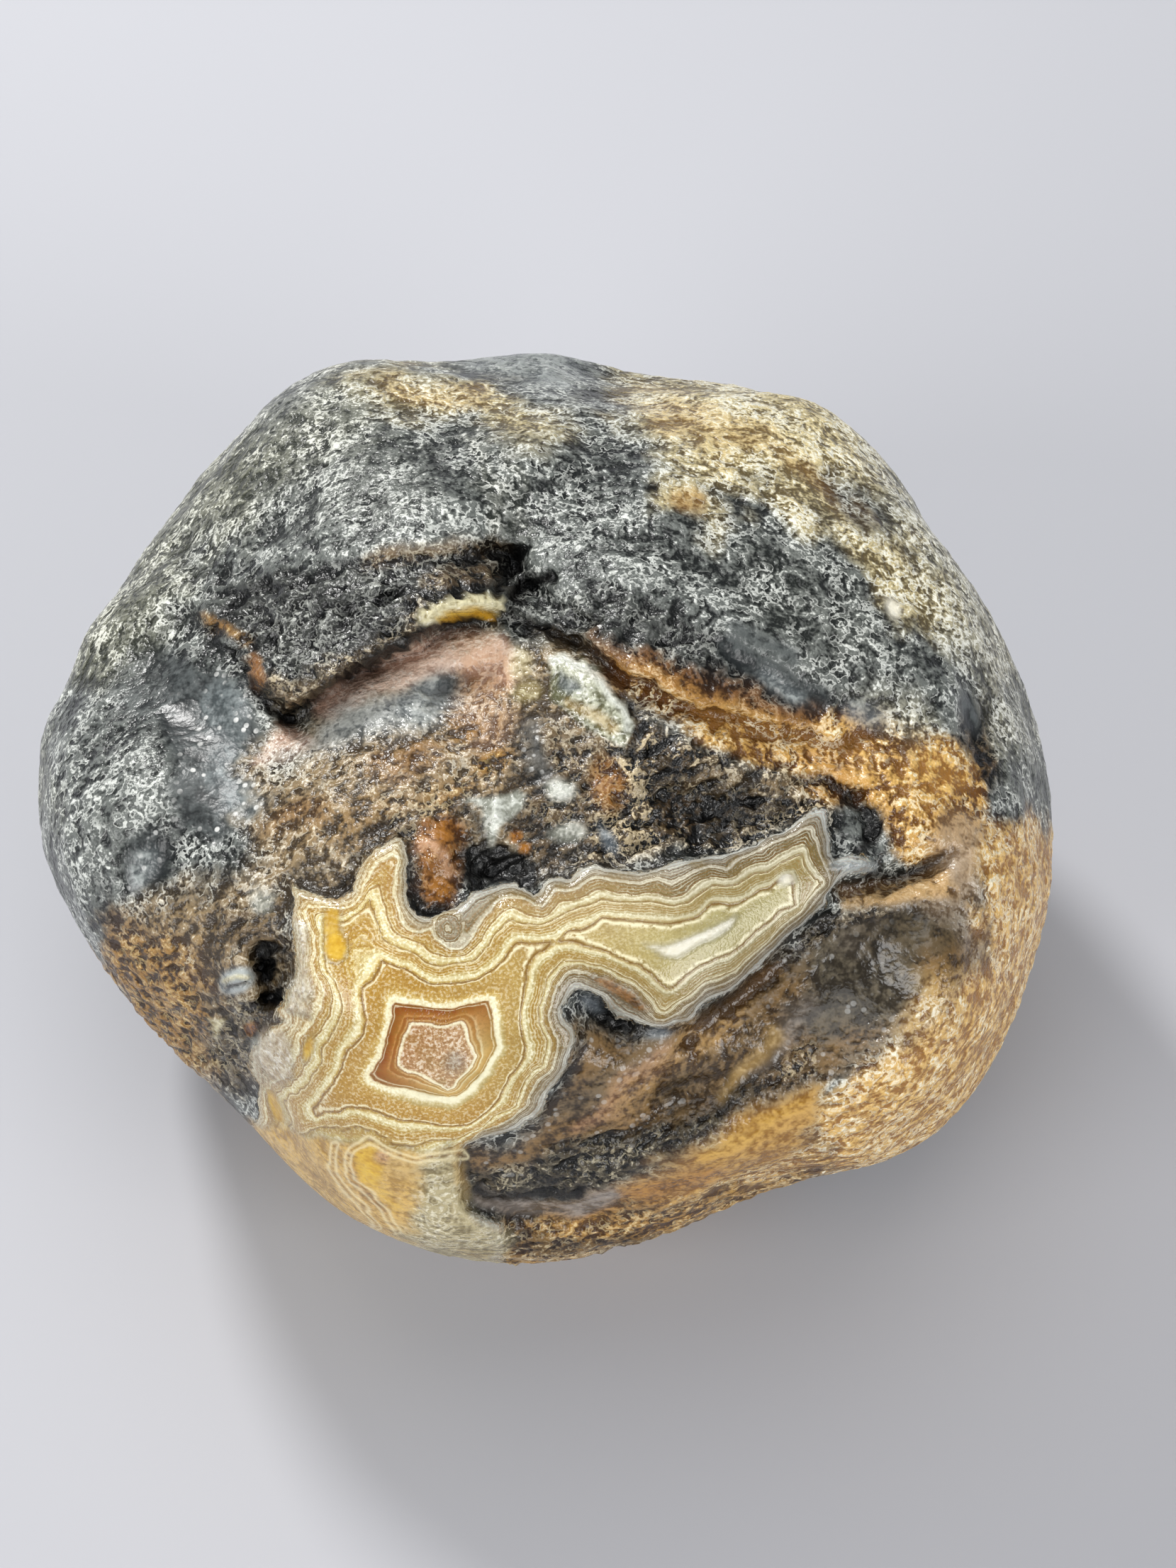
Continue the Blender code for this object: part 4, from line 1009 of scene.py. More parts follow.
def right_side() -> list[Patch]:
    """The amber grain right of the window, with the smoky hollow and the folds below the arm.

    It has painted shade in its cracks, its fold, its channel and the undercut below the arm.
    """
    return [
        Patch(Tone.AMBER, Plot([(4, 10.4), (8, 8.8), (13, 6.8), (18, 5.6), (21, 6.6), (25, 5.6),
            (28.6, 4), (30.4, 1.4), (30, -0.6), (29, -3.6), (26, -4.6), (24.2, -3.4), (22.8, -1),
            (21.6, 0.6), (19.4, 0.6), (16.4, 2.2), (13.6, 3.4), (11.4, 4.2), (9.4, 6), (6.4, 6.8),
            (4.6, 8)]), 0.5, 0.9),
        Patch(Tone.BUFF, Streak([(11, 6.2), (15, 4.8), (18, 4.2), (22, 3.4)], 1.1), 1, 1.4, 0.6),
        Patch(Tone.BUFF, Blob((27.4, 2.4), (2, 1.6), -20), 0.8, 1.2, 0.7),
        Patch(Tone.NODULE, Streak([(3.6, 10.4), (8, 8.8), (13, 6.9), (18, 5.8)], 1.1), 0.9, 1.8, 0.7),
        Patch(Tone.ORANGE, Blob((19.6, 2.4), (2.6, 1.2), -20), 1, 1.2, 0.45),
        Patch(Tone.BUFF, Blob((26.4, 1.4), (2.6, 2.6), -20), 1.4, 1.4, 0.6),
        Patch(Tone.PALE_GOLD, Blob((24.6, 5.8), (3, 1.3), -20), 1, 1.6, 0.8),
        Patch(Tone.CHARCOAL, Blob((23.6, 7.6), (2.6, 1.6), -20), 0.9, 1.2, 0.8),
        Patch(Tone.BLUE_GREY, Blob((21.8, 6), (1.4, 0.8), -20), 0.5, 0.6, 0.7),
        # Painted shade in a crack at the amber's lower edge.
        Patch(Tone.CAVITY_SHADE, Streak([(21, 0.4), (22.2, -0.6), (22.4, -2.6), (21.6, -3.4)], 0.5),
            0.3, 0.5, 0.95),
        Patch(Tone.DEEP_BROWN, Streak([(16.6, 1.8), (19, 1.6), (21, 0.8)], 0.4), 0.3, 0.4, 0.8),
        Patch(Tone.AMBER, Plot([(29, -0.5), (34, -1), (36, -10), (33, -18), (27, -25), (20, -28),
            (12, -29), (12, -25.6), (18, -24), (21, -19.6), (22, -17), (27, -15.4), (30, -11), (29.8, -7),
            (28.4, -3)]), 1, 1.4, 0.6),
        Patch(Tone.BUFF, Plot([(30, -1), (36, -2), (36, -10), (33, -18), (27, -24.6), (20, -26),
            (19, -22), (22.4, -18), (27.4, -15.4), (30.6, -11), (30.2, -6)]), 0.9, 1.3, 0.9),
        Patch(Tone.BLUSH, Blob((28.4, -3.6), (1.8, 3), -10), 0.8, 0.9, 0.8),
        Patch(Tone.BLUSH, Plot([(21, -5.6), (24, -6.4), (29, -5.6), (30.4, -9), (29, -12), (26, -8),
            (22, -7.2)]), 0.8, 1, 0.5),
        Patch(Tone.RUST_FOLD, Plot([(19.8, -5.6), (22.6, -5.2), (27.6, -4.6), (28.4, -6.2), (24, -7),
            (20.4, -7.2)]), 0.4, 0.5, 0.8),
        # Painted shade in the crack by the arm's tip.
        Patch(Tone.CAVITY_SHADE, Streak([(21.8, -4.9), (24.2, -4.8), (26.4, -4.4), (27.4, -3.8)], 0.22),
            0.25, 0.5, 0.85),
        Patch(Tone.BUFF, Blob((26.4, -13.4), (3.4, 2), 40), 1.4, 2, 0.7),
        Patch(Tone.FOLD, Plot([(8, -16.2), (12, -14), (17, -9.4), (21, -7.6), (25, -8.6), (24, -14),
            (20.4, -18.2), (15, -20.4), (10, -21.4), (6, -23.4), (1, -24.8), (-2.4, -26), (-6, -26.4),
            (-5.8, -23.8), (-3.4, -23), (-0.8, -21.8), (1, -18.6), (2, -16), (4, -15.6)]), 1.3, 1.6),
        Patch(Tone.HOLLOW, Plot([(17.4, -9.4), (19.4, -7.8), (22, -7.4), (25, -7.8), (27.8, -9),
            (27.4, -11.6), (24.4, -13.8), (20.6, -15.4), (18.8, -17.2), (17, -16.4), (18.4, -13),
            (16.4, -11)]), 1.2, 1.8, 0.95),
        Patch(Tone.MAUVE, Blob((22, -9), (1.6, 1.1), 20), 0.7, 0.8, 0.3),
        Patch(Tone.UMBER, Blob((25.4, -9.9), (3.4, 2.4), -20), 1.2, 1.4, 0.85),
        Patch(Tone.RECESS, Streak([(18, -9.6), (20.2, -8), (23, -7.4)], 0.5), 0.5, 0.8, 0.6),
        Patch(Tone.OCHRE, Blob((27.6, -11.4), (1.2, 2.2), -20), 0.9, 1.2, 0.4),
        Patch(Tone.HOLLOW, Streak([(16.6, -11.8), (14, -14.4), (11.6, -17.6), (8.6, -20.4)], 0.8),
            1.2, 1.3, 0.6),
        Patch(Tone.RUST_FOLD, Streak([(15.6, -12.2), (12.6, -15.2), (10.2, -18)], 0.6), 0.9, 1.1, 0.85),
        Patch(Tone.MAUVE, Streak([(18.4, -14.4), (16, -16.6), (13.6, -19), (11.6, -21)], 0.55),
            0.8, 1, 0.8),
        Patch(Tone.STRAW, Streak([(13.9, -17.8), (12.8, -19.2), (12, -20.6)], 0.3), 0.5, 0.7, 0.4),
        Patch(Tone.RUST_FOLD, Streak([(10.8, -15.6), (8, -18.4), (4.6, -20.6)], 0.7), 1, 1.2, 0.6),
        Patch(Tone.HOLLOW, Streak([(7.6, -17.2), (4.6, -19), (1.4, -20.4)], 0.7), 1, 1.2, 0.6),
        Patch(Tone.STRAW, Streak([(15.6, -16), (13.8, -18.2), (12, -20.4)], 0.4), 0.5, 0.8, 0.6),
        Patch(Tone.ROSE, Streak([(7.8, -17.6), (5, -20), (2.2, -22.4)], 0.5), 0.7, 1, 0.45),
        Patch(Tone.RECESS, Blob((16.8, -18.4), (1.6, 0.9), 35), 0.8, 1.2, 0.85),
        Patch(Tone.MOSS, Plot([(-5.4, -26), (-2, -25.4), (0.8, -24.4), (3, -23.4), (7.6, -21.8),
            (11.6, -20.6), (15, -18.6), (14.4, -20.4), (10.6, -22.8), (8.4, -24.2), (4.6, -26.6),
            (0, -27.4), (-4.6, -27.2)]), 0.8, 1.3, 0.9),
        Patch(Tone.FOLD, Blob((1, -23.6), (2.2, 0.8), 10), 0.8, 1, 0.6),
        # Painted shade in the fold over the heel.
        Patch(Tone.CAVITY_SHADE, Streak([(7.6, -21.8), (5.4, -23), (1.8, -24.2)], 0.4), 0.6, 1, 0.6),
        Patch(Tone.HONEY, Plot([(8.4, -24.4), (11, -22.8), (15, -21), (19, -19.4), (19.4, -22),
            (17, -24.6), (13, -26), (8, -27.6), (3, -29.4), (-1, -29.6), (1.4, -27.8), (5.4, -26.6)]),
            1, 1.4),
        Patch(Tone.ORANGE, Streak([(2.4, -28.4), (7.4, -26.8), (11.4, -25.2)], 0.7), 0.9, 0.9, 0.7),
        Patch(Tone.YELLOW, Streak([(11, -24), (14.4, -22.6), (17, -21.2)], 0.3), 0.8, 0.9, 0.25),
        Patch(Tone.BUFF, Streak([(9, -27.6), (14, -26.4), (18.4, -24.4)], 0.8), 0.6, 0.7, 0.6),
        Patch(Tone.MAUVE, Streak([(-4.6, -27.2), (-2, -28), (1.4, -28.1), (4.4, -27.3)], 0.62),
            0.35, 0.4),
        # Painted shade in the channel under the window.
        Patch(Tone.CAVITY_SHADE, Streak([(-5.6, -26.6), (-3.4, -27.2), (-1, -27.1), (2.4, -27)], 0.34),
            0.25, 0.3, 0.9),
        Patch(Tone.AMBER, Plot([(-6, -29.4), (0, -29.4), (6, -28.6), (12, -27.6), (18, -26.4), (18, -30),
            (8, -33.5), (-6, -34)]), 0.6, 0.8, 0.9),
        Patch(Tone.OCHRE, Streak([(-3, -29.6), (4, -29.4), (11, -28.2), (17, -26.6)], 1.2),
            0.8, 1.4, 0.55),
        Patch(Tone.DEEP_BROWN, Streak([(-4, -30.6), (2, -31), (9, -30), (15, -28.4)], 0.7),
            0.6, 0.9, 0.8),
        # Painted shade in the undercut below the arm.
        Patch(Tone.CAVITY_SHADE, Blob((4.8, -14.6), (2.4, 1.2), -24), 0.4, 0.5),
        Patch(Tone.BLUE_GREY, Blob((3, -13.9), (0.9, 0.5), -30), 0.3, 0.3, 0.7),
        Patch(Tone.BLUE_GREY, Blob((7.6, -16), (0.9, 0.4)), 0.2, 0.2, 0.7),
    ]


def in_window() -> list[Patch]:
    """What lies over the bands: yellow spots, painted glare on the arm, frost, the core's sugar and the low
    edge.
    """
    patches = [
        Patch(Tone.YELLOW, Blob((-14.65, -10), (0.85, 1)), 0.2, 0.2, 0.95),
        Patch(Tone.YELLOW, Streak([(-14.9, -7.9), (-14.9, -8.8), (-14.7, -9.6)], 0.66), 0.2, 0.2, 0.85),
        Patch(Tone.YELLOW, Blob((-16.5, -17), (0.4, 0.9), -20), 0.2, 0.15, 0.9),
        Patch(Tone.YELLOW, Blob((-18.7, -21.2), (0.5, 1.4), 25), 0.25, 0.2, 0.9),
        Patch(Tone.SUGAR_GOLD, Plot([(-22, -21.4), (-19.9, -22.3), (-18.2, -22.6), (-16.8, -23.1),
            (-15.4, -22.9), (-13.8, -23.3), (-12.4, -23.2), (-10.6, -23.9), (-8.6, -24.2), (-5.8, -24),
            (-5.6, -28), (-3.8, -31), (-3.8, -33.5), (-11, -33.5), (-18, -29.5), (-23, -24)]),
            0.4, 0.5, 1),
        Patch(Tone.STRAW, Plot([(-11, -24.2), (-9.4, -24.9), (-7.4, -24.6), (-7.6, -26), (-10.2, -26.4),
            (-11.4, -25.4)]), 0.5, 0.6, 0.7),
        Patch(Tone.ORANGE, Streak([(-13.5, -24.2), (-13.6, -25.6), (-12.6, -27), (-11.2, -28)], 0.3),
            0.3, 0.3, 0.6),
        Patch(Tone.YELLOW, Blob((-12.5, -24.9), (0.95, 1.6), 12), 0.3, 0.3, 0.95),
        Patch(Tone.YELLOW, Streak([(-12, -26), (-11.4, -26.9), (-10.6, -27.8)], 0.4), 0.4, 0.3, 0.5),
        Patch(Tone.ROSE, Blob((-11.5, -24.5), (0.6, 0.45)), 0.2, 0.15, 0.7),
        Patch(Tone.WRINKLE, Plot([(-8.4, -24.6), (-6.6, -24), (-5.6, -25), (-5.8, -27), (-5, -28.6),
            (-3, -29.8), (-3.2, -32), (-8.6, -32), (-10.2, -29.6), (-9.2, -27.4), (-9, -25.8)]),
            0.7, 1, 0.9),
        Patch(Tone.ORANGE, Plot([(2.8, -11.9), (4.4, -12.2), (6, -13.2), (7.2, -14.6), (6.2, -14.4),
            (4.6, -13.3), (3.2, -12.4)]), 0.15, 0.1, 0.8),
        # Painted reflection: a white streak of glare across the arm.
        Patch(Tone.FROST_AND_GLARE, Plot([(6.6, -9.7), (8.2, -9.8), (9.6, -9.3), (11.2, -8.6), (13, -7.9),
            (12.4, -8.8), (10.6, -9.7), (9.2, -10.6), (8.2, -10.5)]), 0.3, 0.3, 0.9),
        Patch(Tone.BLUE_GREY, Streak([(19.8, -4.4), (21.4, -4.4), (22.6, -4.4)], 0.35), 0.2, 0.2, 0.7),
        Patch(Tone.FROST_AND_GLARE, Blob((16.5, -5.3), (0.6, 0.4), 20), 0.2, 0.2, 0.9),
        Patch(Tone.SMOKE, Blob((-6.4, -17.9), (0.8, 0.7), 30), 0.4, 0.3, 0.45),
        Patch(Tone.SUGAR, Blob((-18.9, -17.6), (1.3, 1.9), 10), 0.4, 0.4, 0.7),
        Patch(Tone.SUGAR, Plot([(-17.4, -8), (-16.6, -8.4), (-16.8, -11), (-16.2, -13), (-16.4, -15),
            (-18.2, -14.4), (-17.4, -12), (-17.2, -9.6)]), 0.3, 0.3, 0.6),
    ]
    return [replace(patch, over_bands=True) for patch in patches]


class Paint:
    """What is painted on each vertex.

    channels holds the finish for the material, crag how craggy the skin is, and veil how far the
    paint hides the bands.
    """

    def __init__(self, count: int) -> None:
        """Starts with charcoal skin on all of count vertices."""
        plain = Tone.CHARCOAL.value.channels().items()
        self.channels = {name: np.zeros((count, len(value))) for name, value in plain}
        self.crag, self.veil = np.zeros(count), np.zeros(count)
        self.lay(Tone.CHARCOAL, np.ones(count))

    def lay(self, tone: Tone, share: Array, over_bands: bool = False) -> None:
        """Lays a tone over what is there.

        Args:
            tone: The kind of surface.
            share: How much of it each vertex takes, from 0 to 1.
            over_bands: Whether it hides the bands of the window.
        """
        for name, value in tone.value.channels().items():
            self.channels[name] += (np.array(value) - self.channels[name]) * share[:, None]
        self.crag += (tone.value.crag - self.crag) * share
        if over_bands:
            self.veil = np.maximum(self.veil, share)


@dataclass(frozen=True)
class Painter:
    """Paints the stone: its patches on the seen face, and broad tones behind and underneath."""

    front_from: float = -9.0  # millimetres before the outline's surface where the face's paint starts
    front_full: float = -3.0
    wander_length: float = 2.6
    fray_length: float = 5.0
    rim_light_share: float = 0.35  # how much of the pale rim's tone the stone's upper edge takes, as paler marks and painted rim light
    rim_light_band: Point = (2.0, 13.0)  # where that ends, from the outline inward
    rim_light_height: Point = (-6.0, 4.0)  # and where it starts, up the face
    lump_edge: float = 1.5
    back_lumps: Sequence[tuple[Tone, Triple, float, float]] = (
        (Tone.AMBER, (24.0, 2.0, 6.0), 13.0, 0.95), (Tone.BUFF, (30.0, -6.0, 14.0), 9.0, 0.8),
        (Tone.AMBER, (2.0, 18.0, 4.0), 12.0, 0.8), (Tone.BROWN, (-20.0, 6.0, 6.0), 12.0, 0.85),
        (Tone.HONEY, (4.0, -16.0, 2.0), 14.0, 0.9), (Tone.BUFF, (-12.0, -12.0, 2.0), 10.0, 0.8),
        (Tone.GOLD, (14.0, 27.0, 34.0), 8.0, 0.6), (Tone.GOLD, (-22.0, 20.0, 22.0), 7.0, 0.55),
        (Tone.SMOKE, (-4.0, 33.0, 18.0), 7.0, 0.8), (Tone.DEEP_BROWN, (0.0, 0.0, 0.0), 9.0, 0.6),
        (Tone.OLIVE_RIM, (-30.0, 8.0, 16.0), 9.0, 0.7), (Tone.PALE_RIM, (6.0, 30.0, 26.0), 9.0, 0.7),
    )

    def paint(self, points: Array) -> Paint:
        """Paints every vertex.

        Args:
            points: The carved stone in millimetres.

        Returns:
            The paint on each vertex.
        """
        across, up, _ = VIEWER.seen(points)
        before = VIEWER.before_rim(points)
        wander = cloudy(points, self.wander_length, 4, seed=5)
        fray = cloudy(points, self.fray_length, 4, seed=6)
        paint = Paint(len(points))
        behind = 1 - smooth_step(before + 3 * fray, self.front_from, self.front_full)
        for tone, middle, radius, strength in self.back_lumps:
            near = radius - np.linalg.norm(points - middle, axis=1) + 3.5 * fray + 1.5 * wander
            paint.lay(tone, smooth_step(near, -self.lump_edge, self.lump_edge) * behind * strength)
        front = 1 - behind
        # Painted rim light: the pale rim's tone laid along the upper outline, with its paler marks.
        rim = (1 - smooth_step(before + 3 * fray, *self.rim_light_band)) * smooth_step(up, *self.rim_light_height)
        paint.lay(Tone.PALE_RIM, self.rim_light_share * rim * front)
        for patch in [*shoulders(), *left_side(), *shelf(), *right_side(), *in_window()]:
            inner = patch.shape.depth(across + patch.wobble * wander, up + patch.wobble * fray)
            share = smooth_step(inner, -patch.soft, patch.soft) * patch.strength * front
            paint.lay(patch.tone, share, patch.over_bands)
        return paint


class Socket:
    """A value in a material, on which Python's operators add Math nodes."""

    def __init__(self, shader: Shader, link: bpy.types.NodeSocket) -> None:
        """Wraps an output socket of the shader's tree."""
        self.shader, self.link = shader, link

    def maths(self, operation: str, *others: Socket | float) -> Socket:
        """Adds a Math node that works on this value and the others."""
        return self.shader.maths(operation, self, *others)

    def output(self, name: str) -> Socket:
        """Another output of the same node."""
        return Socket(self.shader, self.link.node.outputs[name])

    def __add__(self, other: Socket | float) -> Socket:
        """This value plus the other."""
        return self.maths("ADD", other)

    __radd__ = __add__

    def __sub__(self, other: Socket | float) -> Socket:
        """This value less the other."""
        return self.maths("SUBTRACT", other)

    def __rsub__(self, other: float) -> Socket:
        """The other less this value."""
        return self.shader.maths("SUBTRACT", other, self)

    def __mul__(self, other: Socket | float) -> Socket:
        """This value times the other."""
        return self.maths("MULTIPLY", other)

    __rmul__ = __mul__

    def __truediv__(self, other: Socket | float) -> Socket:
        """This value over the other."""
        return self.maths("DIVIDE", other)

    def __abs__(self) -> Socket:
        """This value without its sign."""
        return self.maths("ABSOLUTE")

    def at_least(self, other: Socket | float) -> Socket:
        """The greater of this value and the other."""
        return self.maths("MAXIMUM", other)

    def at_most(self, other: Socket | float) -> Socket:
        """The lesser of this value and the other."""
        return self.maths("MINIMUM", other)

    def clear(self) -> Socket:
        """This value, kept between 0 and 1."""
        return self.at_least(0.0).at_most(1.0)

    def smooth(self, low: float, high: float) -> Socket:
        """0 below low, 1 above high, and an even curve between them."""
        return self.shader.add("ShaderNodeMapRange", {"interpolation_type": "SMOOTHSTEP"},
                               {"Value": self, "From Min": low, "From Max": high})

    def peak(self, middle: float, width: float) -> Socket:
        """A rounded peak: 1 at middle, and near 0 at two widths from it."""
        far = (self - middle) / width
        return (far * far * -1.0).maths("EXPONENT")


@dataclass(frozen=True)
class Grain:
    """A noise: its length in millimetres, its finer octaves and how strong those are."""

    length: float
    detail: float = 2.0
    rough: float = 0.6


class Shader:
    """One material's node tree, and the ways to add nodes to it."""

    def __init__(self, name: str) -> None:
        """Makes the material with its Principled BSDF."""
        self.material = bpy.data.materials.new(name)
        self.material.use_nodes = True
        self.nodes = self.material.node_tree.nodes
        self.surface = self.nodes["Principled BSDF"]

    def join(self, value: Socket | object, target: bpy.types.NodeSocket) -> None:
        """Links a value to a socket, or sets the socket to it."""
        if isinstance(value, Socket):
            self.material.node_tree.links.new(value.link, target)
        else:
            target.default_value = value

    def finished(self, sockets: dict) -> bpy.types.Material:
        """Gives the surface its values and links, and returns the material."""
        for name, value in sockets.items():
            self.join(value, self.surface.inputs[name])
        return self.material

    def add(self, kind: str, settings: dict, sockets: dict, output: int | str = 0) -> Socket:
        """Adds a node.

        Args:
            kind: The node's type.
            settings: Its properties, which are set first. stops are a ramp's places and colours.
            sockets: Values or links of its sockets, by name or number.
            output: The output that is wanted.

        Returns:
            That output.
        """
        node = self.nodes.new(kind)
        for name, value in settings.items():
            if name == "stops":
                self.fill_ramp(node.color_ramp, value)
            else:
                setattr(node, name, value)
        for name, value in sockets.items():
            self.join(value, node.inputs[name])
        return Socket(self, node.outputs[output])

    @staticmethod
    def fill_ramp(ramp: bpy.types.ColorRamp, stops: Sequence[tuple[float, Colour]]) -> None:
        """Gives a colour ramp its stops."""
        while len(ramp.elements) < len(stops):
            ramp.elements.new(1.0)
        for element, (place, colour) in zip(ramp.elements, stops):
            element.position = place
            element.color = (*linear(colour), 1.0)

    def maths(self, operation: str, *values: Socket | float) -> Socket:
        """Adds a Math node that works on the values."""
        return self.add("ShaderNodeMath", {"operation": operation}, dict(enumerate(values)))

    def vector(self, operation: str, sockets: dict) -> Socket:
        """Adds a Vector Math node."""
        return self.add("ShaderNodeVectorMath", {"operation": operation}, sockets, "Vector")

    def attribute(self, name: str, output: str = "Fac") -> Socket:
        """A value that the mesh holds at each vertex."""
        return self.add("ShaderNodeAttribute", {"attribute_name": name}, {}, output)

    def mix(self, one: Socket | Colour, two: Socket | Colour, share: Socket | float) -> Socket:
        """Mixes two colours: one where share is 0, and two where it is 1."""
        ends = [end if isinstance(end, Socket) else (*linear(end), 1.0) for end in (one, two)]
        return self.add("ShaderNodeMix", {"data_type": "RGBA"}, {0: share, 6: ends[0], 7: ends[1]}, 2)

    def layered(self, base: Socket, *coats: tuple[Socket | Colour, Socket]) -> Socket:
        """A colour under coats of other colours, each with its share."""
        return reduce(lambda under, coat: self.mix(under, *coat), coats, base)

    def greatest(self, values: Iterable[Socket]) -> Socket:
        """The greatest of the values."""
        return reduce(Socket.at_least, values)

    def noise(self, place: Socket, grain: Grain, output: str | int = 0) -> Socket:
        """Noise of a grain, about 0.5 on the average."""
        sockets = {"Vector": place, "Scale": 1 / grain.length, "Detail": grain.detail,
                   "Roughness": grain.rough}
        return self.add("ShaderNodeTexNoise", {}, sockets, output)

    def cells(self, place: Socket, size: float) -> Socket:
        """The distance to the nearest middle of scattered cells of a size in millimetres."""
        return self.add("ShaderNodeTexVoronoi", {}, {"Vector": place, "Scale": 1 / size}, "Distance")


@dataclass(frozen=True)
class Stripe:
    """The colour of the bands at one level, where the window is cool and where it is warm."""

    level: float
    cool: Colour
    warm: Colour


OUTER_STRIPES = (
    Stripe(0.00, (96, 96, 90), (126, 114, 88)), Stripe(0.08, (166, 173, 174), (172, 162, 132)),
    Stripe(0.24, (192, 198, 198), (196, 188, 160)), Stripe(0.33, (150, 154, 152), (178, 164, 128)),
    Stripe(0.42, (66, 62, 58), (140, 120, 82)), Stripe(0.51, (136, 135, 130), (200, 186, 146)),
    Stripe(0.62, (112, 106, 95), (214, 200, 160)), Stripe(0.73, (56, 46, 36), (172, 148, 98)),
    Stripe(0.82, (86, 76, 60), (186, 162, 108)), Stripe(0.91, (170, 164, 148), (230, 216, 170)),
    Stripe(1.02, (182, 176, 158), (222, 212, 168)), Stripe(1.10, (92, 80, 56), (168, 130, 62)),
    Stripe(1.26, (94, 79, 48), (182, 150, 76)), Stripe(1.42, (98, 83, 52), (190, 162, 90)),
    Stripe(1.52, (80, 66, 38), (178, 144, 68)), Stripe(1.60, (146, 135, 102), (214, 196, 132)),
    Stripe(1.72, (206, 199, 172), (226, 215, 168)), Stripe(1.84, (178, 168, 134), (210, 192, 124)),
    Stripe(1.95, (142, 130, 88), (196, 170, 98)), Stripe(2.10, (156, 141, 96), (192, 162, 88)),
    Stripe(2.30, (148, 130, 80), (182, 144, 60)), Stripe(2.48, (156, 140, 92), (196, 166, 86)),
    Stripe(2.62, (160, 149, 110), (214, 198, 138)), Stripe(2.76, (204, 196, 162), (234, 224, 176)),
    Stripe(2.87, (188, 176, 134), (214, 190, 114)), Stripe(2.97, (140, 120, 74), (160, 122, 50)),
)
INNER_STRIPES = (
    Stripe(2.97, (140, 120, 74), (160, 122, 50)), Stripe(3.10, (178, 167, 114), (182, 142, 62)),
    Stripe(3.24, (184, 175, 124), (184, 144, 64)), Stripe(3.44, (180, 164, 112), (190, 152, 76)),
    Stripe(3.60, (184, 162, 104), (198, 164, 88)), Stripe(3.70, (202, 184, 128), (214, 186, 114)),
    Stripe(3.80, (244, 238, 204), (244, 236, 196)), Stripe(3.93, (244, 238, 204), (244, 232, 188)),
    Stripe(3.99, (206, 178, 114), (152, 92, 36)), Stripe(4.08, (184, 144, 74), (130, 68, 20)),
    Stripe(4.26, (198, 162, 96), (146, 84, 30)), Stripe(4.44, (206, 174, 112), (164, 104, 44)),
    Stripe(4.54, (240, 226, 178), (190, 136, 74)), Stripe(4.62, (184, 144, 80), (148, 90, 34)),
    Stripe(4.72, (196, 158, 94), (162, 104, 46)), Stripe(4.80, (228, 208, 156), (204, 160, 102)),
    Stripe(4.88, (178, 138, 76), (142, 90, 42)), Stripe(4.97, (246, 238, 206), (246, 236, 202)),
    Stripe(5.06, (242, 232, 196), (240, 226, 188)), Stripe(5.16, (200, 168, 126), (194, 154, 112)),
    Stripe(6.00, (202, 172, 132), (194, 156, 116)),
)


